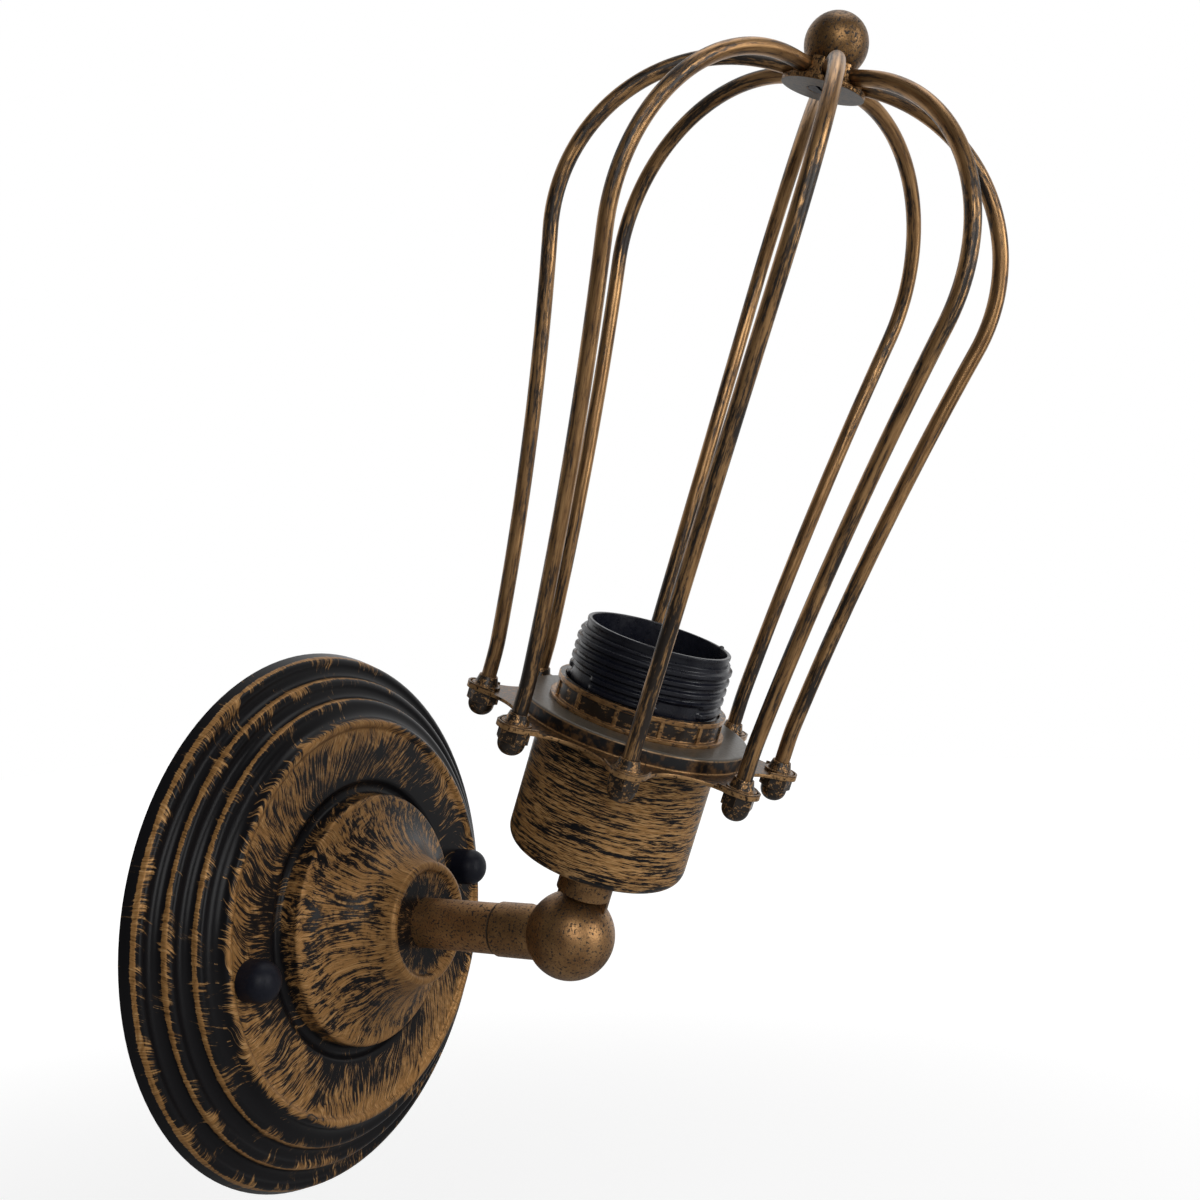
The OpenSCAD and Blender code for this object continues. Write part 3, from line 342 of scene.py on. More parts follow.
# The gold line along a ridge's outer side, in mm: how far it lies above the ridge's middle, how far
# to either side of that it is whole and has ended, and where across the ridge it comes in; and then
# the share of gold that it adds
RIDGE_LINE_UP = 0.45
RIDGE_LINE_HALF = (0.20, 0.95)
RIDGE_LINE_FROM = (3.7, 4.2)
RIDGE_LINE_COVER = 0.80
# Bands of strokes as (the radius where one starts, the last one's middle, its own middle), in mm
PLATE_BANDS = [(34.8, 25.0, 47.0), (56.6, 47.0, 60.2), (63.2, 60.2, 66.2), (69.2, 66.2, 72.2)]
BAND_SHIFT = 3.7
# Radii in mm over which the boss passes into the bell, and the bell into the face
BOSS_END = (17.0, 19.5)
BELL_END = (33.0, 36.0)
# From patch to patch, how much the face's strokes lean, and how far the bell's mottling is turned
FACE_SLANT = (-0.35, 0.95)
BELL_SLANT = (-0.25, 0.05)
# How strong the strokes and the mottling are on the bell, on the face and on the ridges
STROKES_BELL, STROKES_FACE, STROKES_RIDGES = 0.42, 1.0, 0.52
MOTTLING_BELL, MOTTLING_FACE = 1.0, 0.16
# Sides of the plate with less gold, thinner paint on the left and painted shade on the right: which
# way each lies, how near that way the loss begins and is whole, as a cosine, and how much less
# there is
THIN_AND_SHADED_SIDES = [((0.94, 0.34, 0.0), (0.30, 0.95), 0.36), ((-0.98, 0.20, 0.0), (0.55, 1.0), 0.04)]
# Where the plate's clouds are taken from, in mm, so that they differ from its patches
CLOUD_AWAY = (31.0, 7.0, 0.0)
# Levels at which the paint begins and is whole
PLATE_PAINT = (0.38, 0.74)
CUP_PAINT = (-0.14, 0.10)
# A normal counts as the plate's front by its way out from the wall and, in part, from the axis
FRONT_SIDEWAYS = 0.35
FRONT_SPAN = (-0.16, 0.04)


def ridge_cover(shader, place):
    """The share of gold on the ridges: a thin line along each one's outer side and little else."""
    step = RIDGE_STEP / MM
    rise = RIDGE_RISE / MM
    across = shader.math("MODULO", shader.less(place.radius, RIDGES_R / MM), step)
    climb = shader.math("MODULO", shader.total(place.height, rise / 2 - RIDGE_MIDDLE_H / MM), rise)
    off_line = shader.math("ABSOLUTE", shader.less(climb, rise / 2 + RIDGE_LINE_UP))
    near_line = shader.smooth(off_line, *RIDGE_LINE_HALF, 1.0, 0.0)
    line = shader.times(near_line, shader.smooth(across, *RIDGE_LINE_FROM))
    plain = shader.curve(across, RIDGE_COVER, step)
    return shader.total(plain, shader.times(line, RIDGE_LINE_COVER))


def band_middle(shader, radius):
    """The middle radius of the band of strokes that a point lies in."""
    middle = PLATE_BANDS[0][1]
    for start, last, own in PLATE_BANDS:
        beyond = shader.math("GREATER_THAN", radius, start)
        middle = shader.total(middle, shader.times(beyond, own - last))
    return middle


def plate_front(shader, place):
    """1 on the plate's painted front and 0 on its plain inside."""
    facing = shader.facing()
    outward = shader.vector("DOT_PRODUCT", facing, shader.turned(place.round, WALL_TURN, "X_AXIS"))
    forward = shader.vector("DOT_PRODUCT", facing, WALL_OUT)
    front = shader.total(forward, shader.times(outward, FRONT_SIDEWAYS))
    return shader.smooth(front, *FRONT_SPAN)


def plate_material():
    """Gold strokes on black, out from the axis; mottled on the bell and thin along the ridges."""
    shader = Shader("plate_gilt")
    place = Place(shader, on_lamp=False)
    on_ridges = shader.math("GREATER_THAN", place.radius, RIDGES_R / MM)
    # The low gold in the dish is in part painted shade
    plain_cover = shader.curve(place.radius, PLATE_COVER_AND_DISH_SHADE, PLATE_R / MM)
    cover = shader.mix_value(on_ridges, plain_cover, ridge_cover(shader, place))
    face = shader.smooth(place.radius, *BELL_END)

    patch = place.spots(scale=0.035, detail=2.0, roughness=0.5)
    middle = band_middle(shader, place.radius)
    off_middle = shader.math("DIVIDE", shader.less(place.radius, middle), middle)
    turn = shader.times(off_middle, shader.times(shader.shade(patch, *FACE_SLANT), face))
    shift = shader.times(middle, BAND_SHIFT)
    hair = place.streaks_out(fine=165.0, stretch=0.26, detail=3.0, roughness=0.6,
                             shift=shift, turn=turn)
    strand = place.streaks_out(fine=62.0, stretch=0.15, detail=4.0, roughness=0.6,
                               shift=shift, turn=turn)
    mottle = place.streaks_out(fine=38.0, stretch=0.40, detail=5.0, roughness=0.70,
                               turn=shader.shade(patch, *BELL_SLANT))
    grain = place.spots(scale=0.55, detail=4.0, roughness=0.65)
    elsewhere = shader.vector("ADD", place.point, CLOUD_AWAY)
    cloud = shader.noise(elsewhere, scale=0.10, detail=2.0, roughness=0.5)

    strokes = shader.total(shader.swing(hair, 0.42), shader.swing(strand, 0.50))
    strokes_share = shader.mix_value(
        on_ridges, shader.linear(face, 0, 1, STROKES_BELL, STROKES_FACE), STROKES_RIDGES)
    mottling = shader.total(shader.swing(mottle, 0.62), shader.swing(grain, 0.36))
    mottling_share = shader.linear(face, 0, 1, MOTTLING_BELL, MOTTLING_FACE)
    level = shader.total(cover, shader.times(strokes, strokes_share), shader.swing(cloud, 0.30),
                         shader.times(mottling, mottling_share))
    # Less gold towards the plate's sides: thinner paint on the left, painted shade on the right
    thin_and_shaded = 0.0
    for side, reach, amount in THIN_AND_SHADED_SIDES:
        beside = shader.smooth(shader.vector("DOT_PRODUCT", place.round, side), *reach)
        thin_and_shaded = shader.total(thin_and_shaded, shader.times(beside, amount))
    level = shader.less(level, shader.times(thin_and_shaded, shader.smooth(place.radius, *BOSS_END)))
    gold = shader.times(shader.smooth(level, *PLATE_PAINT), plate_front(shader, place))
    tone = shader.total(shader.shade(hair, 0.0, 0.62), shader.shade(mottle, -0.10, 0.44))
    return gilt_black(shader, gold, tone)


# Heights in mm over which the cup's rounded corner ends, and how much less gold it has below them
CUP_CORNER = (22.5, 28.0)
CUP_CORNER_LESS_GOLD = 0.22


def cup_material():
    """Gold paint brushed round the cup."""
    shader = Shader("cup_gilt")
    place = Place(shader, on_lamp=True)
    waver = shader.swing(place.spots(scale=0.06, detail=2.0, roughness=0.5), 0.25)
    streak = place.streaks_round(fine=1.7, stretch=2.1, detail=5.0, roughness=0.64, waver=waver)
    fine = place.streaks_round(fine=5.5, stretch=9.0, detail=3.0, roughness=0.6,
                               shift=9.0, waver=waver)
    broad = place.streaks_round(fine=0.5, stretch=1.5, detail=3.0, roughness=0.5,
                                shift=5.0, waver=waver)
    corner = shader.smooth(place.height, *CUP_CORNER, -CUP_CORNER_LESS_GOLD, 0.0)
    level = shader.total(shader.swing(streak, 0.55), shader.swing(broad, 0.26),
                         shader.swing(fine, 0.36), corner)
    tone = shader.total(shader.shade(fine, 0.10, 0.85),
                        shader.linear(streak, 0.40, 0.70, 0.0, 0.40))
    return gilt_black(shader, shader.smooth(level, *CUP_PAINT), tone)


# ---------------------------------------------------------------- bronze: wires and castings

# How far apart, in mm, the wires' patterns are taken along their length
WIRE_APART = 400.0
# From how far to how far from its end, in mm, a wire's dark foot fades, and how dark it is
WIRE_DARK_END = (8.0, 60.0)
WIRE_DARK = 0.26
# Levels at which the wires' gilt begins and is whole
WIRE_PAINT = (-0.46, 0.08)


def wire_material():
    """Brown gold drawn out along the wire, darker near its foot."""
    shader = Shader("wire_gilt")
    way = shader.node("ShaderNodeAttribute", attribute_name="way").outputs["Vector"]

    def drawn(stretch, detail, roughness):
        at = shader.vector("MULTIPLY", way, stretch)
        return shader.noise(at, detail=detail, roughness=roughness)

    streak = drawn((2.2, 2.2, 0.085), 4.0, 0.62)
    fleck = drawn((4.0, 4.0, 0.50), 4.0, 0.62)
    length = drawn((0.5, 0.5, 0.03), 2.0, 0.5)
    run = shader.math("MODULO", shader.along_z(way), WIRE_APART)
    level = shader.total(shader.swing(streak, 0.45), shader.swing(fleck, 0.26),
                         shader.linear(length, *NOISE_SPAN, -0.40, 0.30),
                         shader.smooth(run, *WIRE_DARK_END, -WIRE_DARK, 0.0))
    gold = shader.smooth(level, *WIRE_PAINT)
    paint = shader.mix(shader.shade(streak), darker(BRONZE, 0.6), BRONZE_PALE)
    return shader.finish(
        Base_Color=shader.mix(gold, BRONZE_DARK, paint),
        Metallic=shader.mix_value(gold, 0.30, 0.78),
        Roughness=shader.mix_value(gold, 0.42, 0.33),
        Normal=shader.bump(gold, WIRE_GILT_T, 0.3))


# How far from a joint's middle, in mm, its dark line is whole and has ended
JOINT_HALF = (0.22, 0.50)
# How far from its middle value a noise still counts as a scratch, whole and ended; the levels of a
# second noise at which scratches begin and are whole, and the same for pits
SCRATCH_HALF = (0.008, 0.030)
SCRATCHED = (0.47, 0.56)
PITTED = (0.635, 0.68)
PIT_DEPTH = 0.06 * MM
CAST_EDGE_R = 0.25 * MM


def cast_material(name, on_lamp, coverage, deep=0.6, pale=BRONZE_PALE, joint=None):
    """Cloudy bronze with small dark pits, worm-like scratches and a dark line at a joint."""
    shader = Shader(name)
    place = Place(shader, on_lamp)
    cloud = place.spots(scale=0.16, detail=4.0, roughness=0.6)
    grain = place.spots(scale=3.2, detail=3.0, roughness=0.6)
    worm = place.spots(scale=0.62, detail=2.0, roughness=0.5, distortion=1.6)
    pit = place.spots(scale=1.5, detail=2.0, roughness=0.5)
    off_worm = shader.math("ABSOLUTE", shader.less(worm, 0.5))
    scratches = shader.times(shader.smooth(off_worm, *SCRATCH_HALF, 1.0, 0.0),
                             shader.smooth(pit, *(level - coverage for level in SCRATCHED)))
    pits = shader.smooth(pit, *(level - coverage for level in PITTED))
    dark = shader.math("MAXIMUM", scratches, pits)
    if joint is not None:
        off_joint = shader.math("ABSOLUTE", shader.less(place.height, joint / MM))
        dark = shader.math("MAXIMUM", dark, shader.smooth(off_joint, *JOINT_HALF, 0.92, 0.0))
    # deep sets the bronze at the cloud's dark end; the arm's is raised as painted light and the
    # finial's lowered as painted shade
    shade = shader.total(shader.linear(cloud, 0.32, 0.68, 0.0, 0.62),
                         shader.linear(grain, *NOISE_SPAN, -0.10, 0.34))
    return shader.finish(
        Base_Color=shader.mix(dark, shader.mix(shade, darker(BRONZE, deep), pale), BRONZE_DARK),
        Metallic=shader.mix_value(dark, 0.84, 0.3),
        Roughness=shader.mix_value(dark, 0.40, 0.6),
        Normal=shader.bump(shader.less(1.0, dark), PIT_DEPTH, 0.35,
                           under=shader.rounded(CAST_EDGE_R)))


def gilt_bronze(shader, gold, speck):
    """Dark bronze with gilt where gold is 1."""
    return shader.mix(gold, BRONZE_DARK, shader.mix(shader.shade(speck), BRONZE, BRONZE_PALE))


def mottled_material(name, coverage, fine, edge_r, edge_gold_and_highlight, underside=False):
    """Dark bronze, gilt patches, gilt edges that are partly painted highlight; a hub's underside
    plain grey.
    """
    shader = Shader(name)
    place = Place(shader, on_lamp=True)
    patch = place.spots(scale=0.50 * fine, detail=4.0, roughness=0.62, distortion=0.4)
    speck = place.spots(scale=2.0 * fine, detail=3.0, roughness=0.6)
    rounded = shader.rounded(edge_r)
    # Gold along the edges: gilt, and in part painted highlight
    level = shader.total(shader.swing(patch, 0.5), shader.swing(speck, 0.3),
                         shader.times(shader.edges(rounded), edge_gold_and_highlight))
    gold = shader.smooth(level, -0.05 - coverage, 0.30 - coverage)
    colour = gilt_bronze(shader, gold, speck)
    metallic, roughness, specular = 0.25, 0.34, 0.5
    if underside:
        downward = shader.vector("DOT_PRODUCT", shader.facing(), tuple(-LAMP_UP))
        below = shader.smooth(downward, 0.6, 0.85)
        colour = shader.mix(shader.times(below, 0.85), colour, darker(GREY_SATIN, 0.6))
        gold = shader.times(gold, shader.less(1.0, below))
        metallic, roughness, specular = 0.12, 0.42, 0.12
    return shader.finish(
        Base_Color=colour,
        Specular_IOR_Level=specular,
        Metallic=shader.mix_value(gold, metallic, 0.85),
        Roughness=shader.mix_value(gold, roughness, 0.34),
        Normal=shader.bump(gold, MOTTLED_GILT_T, 0.4, under=rounded))


# How far inside the ring's outer radius, in mm, its panels are whole and have ended, and how far
# above the disc's top the band below them is whole and has ended
PANEL_DEPTH = (0.36, 0.12)
RING_BAND_H = (0.9, 1.1)
PRESSED_EDGE_R = 0.4 * MM


def ring_material():
    """Gilt ribs and bands round dark recessed panels."""
    shader = Shader("shade_ring_gilt")
    place = Place(shader, on_lamp=True)
    patch = place.spots(scale=0.42, detail=4.0, roughness=0.62, distortion=0.4)
    speck = place.streaks_round(fine=1.6, stretch=9.0, detail=4.0, roughness=0.6)
    rounded = shader.rounded(PRESSED_EDGE_R)
    panel_r = [RING_R / MM - depth for depth in PANEL_DEPTH]
    band_top = [DISC_S / MM + up for up in RING_BAND_H]
    recessed = shader.smooth(place.radius, *panel_r, 1.0, 0.0)
    band = shader.smooth(place.height, *band_top, 1.0, 0.0)
    panel = shader.times(recessed, shader.less(1.0, band))
    # The gold along the edges is gilt and in part painted highlight
    level = shader.total(shader.swing(patch, 0.5), shader.swing(speck, 0.35),
                         shader.linear(panel, 0.0, 1.0, 0.26, -0.22),
                         shader.times(shader.edges(rounded), 0.5))
    gold = shader.smooth(level, -0.15, 0.25)
    return shader.finish(
        Base_Color=gilt_bronze(shader, gold, speck),
        Metallic=shader.mix_value(gold, 0.25, 0.8),
        Roughness=shader.mix_value(gold, 0.32, 0.34),
        Normal=shader.bump(gold, MOTTLED_GILT_T, 0.4, under=rounded))


# How far below the disc's top, in mm, its wall begins and is whole, and how far above the flange's
# top the flange does
DISC_WALL_DROP = (0.25, 0.8)
FLANGE_START = (0.5, 0.1)
SATIN_T = 0.04 * MM


def cage_base_material():
    """Grey satin on the disc, dark on its wall, bronze on the flange; gilt edges, partly painted
    highlight.
    """
    shader = Shader("cage_base_satin")
    place = Place(shader, on_lamp=True)
    speck = place.spots(scale=1.1, detail=4.0, roughness=0.62)
    cloud = place.spots(scale=0.13, detail=3.0, roughness=0.5)
    blotch = place.spots(scale=0.38, detail=4.0, roughness=0.6)
    rounded = shader.rounded(PRESSED_EDGE_R)
    upward = shader.vector("DOT_PRODUCT", shader.facing(), tuple(LAMP_UP))
    upright = shader.smooth(shader.math("ABSOLUTE", upward), 0.35, 0.65, 1.0, 0.0)
    below_disc = shader.smooth(place.height, *(DISC_S / MM - drop for drop in DISC_WALL_DROP))
    on_flange = shader.smooth(place.height, *(FLANGE_TOP_S / MM + up for up in FLANGE_START))

    disc = shader.mix(shader.linear(cloud, *NOISE_SPAN), GREY_SATIN, darker(GREY_SATIN, 0.72))
    wall = shader.mix(shader.smooth(blotch, 0.44, 0.66), BLACK, GOLD_DEEP)
    flange = shader.mix(shader.smooth(speck, 0.40, 0.66), BRONZE_DARK, BRONZE)
    colour = shader.mix(on_flange, shader.mix(below_disc, disc, wall), flange)
    # Gold on the upright rims and sharp edges: gilt, and in part painted highlight
    rim_gold_and_highlight = shader.times(upright, shader.total(on_flange, shader.less(1.0, below_disc)))
    edge = shader.edges(rounded, 0.80, 0.98)
    gilt = shader.math("MAXIMUM", shader.times(rim_gold_and_highlight, 0.9), edge)
    gold = shader.times(gilt, shader.smooth(speck, 0.32, 0.50))
    return shader.finish(
        Base_Color=shader.mix(gold, colour, BRONZE_PALE),
        Metallic=shader.mix_value(shader.math("MAXIMUM", gold, on_flange), 0.35, 0.75),
        Roughness=shader.linear(speck, *NOISE_SPAN, 0.28, 0.40),
        Normal=shader.bump(speck, SATIN_T, 0.25, under=rounded))


# ---------------------------------------------------------------- plain materials

def fine_grained(name, dark, light, grain, roughness, spread, bump, **inputs):
    """A plain material with a fine grain.

    Its roughness goes down and up by spread, and bump is how high, in mm, and how strong it is.
    """
    shader = Shader(name)
    fine = shader.noise(shader.coordinates("Object"), scale=grain)
    return shader.finish(
        Base_Color=shader.mix(fine, dark, light),
        Roughness=shader.linear(fine, *NOISE_SPAN, roughness - spread[0], roughness + spread[1]),
        Normal=shader.bump(fine, bump[0] * MM, bump[1]),
        **inputs)


def black_plastic(name, roughness, grain, specular):
    return fine_grained(name, PLASTIC_DARK, PLASTIC, grain, roughness,
                        spread=(0.06, 0.08), bump=(0.04, 0.25), Specular_IOR_Level=specular)


def plain_metal(name, colour, roughness):
    return fine_grained(name, darker(colour, 0.72), colour, 900.0, roughness,
                        spread=(0.08, 0.10), bump=(0.03, 0.2), Metallic=1.0)


def plain_solid(name, colour, roughness):
    return fine_grained(name, darker(colour, 0.86), colour, 500.0, roughness,
                        spread=(0.05, 0.08), bump=(0.03, 0.15))


# ---------------------------------------------------------------- mesh helpers

# Pressed sheet keeps an edge sharp from this angle on, and the moulded skirt from this one
PRESSED_EDGE_DEGREES = 32
SKIRT_EDGE_DEGREES = 60
MERGE_DISTANCE = 0.002 * MM


def new_piece(name, mesh_data, material, body):
    piece = bpy.data.objects.new(name, mesh_data)
    bpy.context.scene.collection.objects.link(piece)
    mesh_data.materials.clear()
    mesh_data.materials.append(material)
    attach(piece, body)
    return piece


def smooth_by_angle(mesh, degrees):
    """Smooth shading, with edges kept sharp where the surface turns by more than degrees."""
    work = bmesh.new()
    work.from_mesh(mesh)
    bmesh.ops.remove_doubles(work, verts=work.verts, dist=MERGE_DISTANCE)
    bmesh.ops.recalc_face_normals(work, faces=work.faces)
    for face in work.faces:
        face.smooth = True
    limit = math.radians(degrees)
    for edge in work.edges:
        if edge.is_manifold:
            edge.smooth = edge.calc_face_angle(0.0) < limit
    work.to_mesh(mesh)
    work.free()
    mesh.update()


def smooth_copy(node, name, material, body):
    """A copy of a CAD node with its facets shaded as the rounded sheet they stand for."""
    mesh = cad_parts[node].data.copy()
    mesh.name = name
    if mesh.attributes.get("custom_normal"):
        mesh.attributes.remove(mesh.attributes["custom_normal"])
    smooth_by_angle(mesh, PRESSED_EDGE_DEGREES)
    piece = new_piece(name, mesh, material, body)
    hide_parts(node)


def grid_mesh(name, rings, closed_rows=False):
    """A mesh from rings of points, each closed on itself, with the ends left open or joined."""
    sides = len(rings[0])
    points = [p for ring in rings for p in ring]
    last = len(rings) if closed_rows else len(rings) - 1
    faces = []
    for row in range(last):
        here = row * sides
        there = ((row + 1) % len(rings)) * sides
        for i in range(sides):
            j = (i + 1) % sides
            faces.append((here + i, here + j, there + j, there + i))
    mesh = bpy.data.meshes.new(name)
    mesh.from_pydata([tuple(p) for p in points], [], faces)
    mesh.update()
    return mesh


# ---------------------------------------------------------------- the wires

WIRE_SIDES = 24
TAIL_STEPS = 6
BEND_STEPS = 6
BOW_STEPS = 36
SHOULDER_STEPS = 48


def wire_path():
    """Points of a wire's middle as (out from the axis, up it, slope outwards from upright)."""
    rise = WIRE_HUB_S - FLANGE_TOP_S - WIRE_FOOT_H - WIRE_SHOULDER_R
    top_slope = math.asin((rise + (WIRE_BOW_R - WIRE_BEND_R) * math.sin(WIRE_FOOT_SLOPE))
                          / (WIRE_BOW_R + WIRE_SHOULDER_R))
    foot = FLANGE_TOP_S - DISC_T - WIRE_TAIL
    straight = DISC_T + WIRE_TAIL + WIRE_FOOT_H
    path = [(EAR_R, foot + i * straight / TAIL_STEPS, 0.0) for i in range(TAIL_STEPS)]
    centre = (EAR_R + WIRE_BEND_R, FLANGE_TOP_S + WIRE_FOOT_H)

    def bend(centre, r, start, end, steps):
        for i in range(steps + 1):
            slope = start + (end - start) * i / steps
            path.append((centre[0] + r * math.cos(slope), centre[1] - r * math.sin(slope), slope))

    bend(centre, -WIRE_BEND_R, 0.0, WIRE_FOOT_SLOPE, BEND_STEPS)
    out, up, slope = path.pop()
    centre = (out + WIRE_BOW_R * math.cos(slope), up - WIRE_BOW_R * math.sin(slope))
    bend(centre, -WIRE_BOW_R, WIRE_FOOT_SLOPE, top_slope, BOW_STEPS)
    out, up, slope = path.pop()
    centre = (out - WIRE_SHOULDER_R * math.cos(slope), up + WIRE_SHOULDER_R * math.sin(slope))
    bend(centre, WIRE_SHOULDER_R, top_slope, -math.pi / 2, SHOULDER_STEPS)
    path.append((WIRE_END_R, WIRE_HUB_S, -math.pi / 2))
    return path


def wire_skin(path, place, number):
    """Rings of points round a path, and for each point its way round and along the wire."""
    rings = []
    way = []
    run = 0.0
    for i, (out, up, slope) in enumerate(path):
        if i:
            run += math.dist(path[i][:2], path[i - 1][:2])
        ring = []
        for k in range(WIRE_SIDES):
            t = 2 * math.pi * k / WIRE_SIDES
            u = WIRE_R * math.cos(t)
            x, z = out + u * math.cos(slope), up - u * math.sin(slope)
            ring.append(place @ Vector((x, WIRE_R * math.sin(t), z)))
            way += (math.cos(t), math.sin(t), run / MM + WIRE_APART * number)
        rings.append(ring)
    return rings, way


def build_wires(material):
    path = wire_path()
    for number in range(1, WIRES + 1):
        turn = CAGE_TURN - math.pi + 2 * math.pi / WIRES * (number - 1)
        place = TO_WORLD_FROM_LAMP @ Matrix.Rotation(turn, 4, "Z")
        rings, way = wire_skin(path, place, number)
        mesh = grid_mesh(f"wire_{number}", rings)
        mesh.attributes.new("way", "FLOAT_VECTOR", "POINT").data.foreach_set("vector", way)
        work = bmesh.new()
        work.from_mesh(mesh)
        bmesh.ops.holes_fill(work, edges=[e for e in work.edges if e.is_boundary])
        bmesh.ops.recalc_face_normals(work, faces=work.faces)
        for face in work.faces:
            face.smooth = len(face.verts) == 4
        work.to_mesh(mesh)
        work.free()
        piece = new_piece(f"bent_wire_{number}", mesh, material, "lamp_head")
        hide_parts(f"cage_wire_{number}")


# ---------------------------------------------------------------- the lamp holder's skirt

SKIRT_SIDES = 240
SKIRT_ROW = 0.16 * MM
SKIRT_FOOT_ROWS = 6
LIP_STEPS = 4
# The thread's profile over one pitch: how high its crest would reach uncut, and its flanks' slope
THREAD_PEAK = 1.62
THREAD_FLANK = 4.0
THREAD_FOOT_S = DISC_S - 2 * MM
THREAD_TOP_S = SKIRT_TOP_S - SKIRT_LIP_H
THREAD_RUN_OUT = 0.5 * THREAD_PITCH
THREAD_RUN_IN = 1 * MM
LIP_START_H = 0.05 * MM
PANEL_FADE_H = 0.8 * MM
PANEL_FADE = math.radians(3)
LIP_ROUND_R = 0.25 * MM
LIP_BEAD = 0.14 * MM
LIP_BEAD_H = 0.80 * MM
LIP_BEAD_FOOT_H = 0.95 * MM
INSIDE_H = 6 * MM


def limited(value):
    return min(1.0, max(0.0, value))


def apart(turn, other):
    return abs((turn - other + math.pi) % (2 * math.pi) - math.pi)


def thread_height(turn, up):
    """How far the thread stands out there; it fades at its ends and over the smooth panels."""
    share = ((up / THREAD_PITCH) - turn / (2 * math.pi)) % 1.0
    crest = limited(THREAD_PEAK - abs(share - 0.5) * THREAD_FLANK)
    crest = crest * crest * (3 - 2 * crest)
    fade = (limited((THREAD_TOP_S - up) / THREAD_RUN_OUT)
            * limited((up - THREAD_FOOT_S) / THREAD_RUN_IN))
    lift = limited((up - PANEL_TOP_S) / PANEL_FADE_H)
    keep = min(max(limited((apart(turn, mid) - PANEL_HALF) / PANEL_FADE), lift)
               for mid in PANEL_MIDS)
    return (SKIRT_CREST_R - SKIRT_ROOT_R) * crest * fade * keep


def build_skirt(material):
    """The threaded skirt with one unbroken thread, broken by smooth panels low down."""
    turns = [2 * math.pi * k / SKIRT_SIDES for k in range(SKIRT_SIDES)]
    rings = []

    def ring(up, r, rise=0.0, threaded=False):
        points = []
        for turn in turns:
            out = r + thread_height(turn, up) if threaded else r
            nub = NUB_H * max(0.0, 1 - (apart(turn, NUB_TURN) / NUB_HALF) ** 2)
            point = Vector((out * math.cos(turn), out * math.sin(turn), up + rise * nub))
            points.append(TO_WORLD_FROM_LAMP @ point)
        rings.append(points)

    ring(SKIRT_FOOT_S, SKIRT_BORE_R)
    for row in range(SKIRT_FOOT_ROWS):
        ring(SKIRT_FOOT_S + (THREAD_FOOT_S - SKIRT_FOOT_S) * row / SKIRT_FOOT_ROWS, SKIRT_ROOT_R)
    rows = int((THREAD_TOP_S - THREAD_FOOT_S) / SKIRT_ROW)
    for row in range(rows + 1):
        up = THREAD_FOOT_S + (THREAD_TOP_S - THREAD_FOOT_S) * row / rows
        ring(up, SKIRT_ROOT_R, threaded=True)
    ring(THREAD_TOP_S + LIP_START_H, SKIRT_LIP_R)
    ring(SKIRT_TOP_S - LIP_BEAD_FOOT_H, SKIRT_LIP_R)
    ring(SKIRT_TOP_S - LIP_BEAD_H, SKIRT_LIP_R + LIP_BEAD)
    arc = [math.pi / 2 * i / LIP_STEPS for i in range(LIP_STEPS + 1)]
    for a in arc:
        ring(SKIRT_TOP_S - LIP_ROUND_R * (1 - math.sin(a)),
             SKIRT_LIP_R + LIP_BEAD - LIP_ROUND_R * (1 - math.cos(a)), 1.0)
    for i, a in enumerate(arc):
        ring(SKIRT_TOP_S - LIP_ROUND_R * (1 - math.cos(a)),
             SKIRT_BORE_R + LIP_ROUND_R * (1 - math.sin(a)), 1.0 - i / LIP_STEPS)
    ring(SKIRT_TOP_S - INSIDE_H, SKIRT_BORE_R)
    mesh = grid_mesh("skirt", rings, closed_rows=True)
    smooth_by_angle(mesh, SKIRT_EDGE_DEGREES)
    piece = new_piece("threaded_skirt", mesh, material, "lamp_head")
    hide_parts("holder_skirt")


# ---------------------------------------------------------------- dressing the CAD nodes

def dress(material, *nodes):
    for node in nodes:
        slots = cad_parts[node].data.materials
        slots.clear()
        slots.append(material)


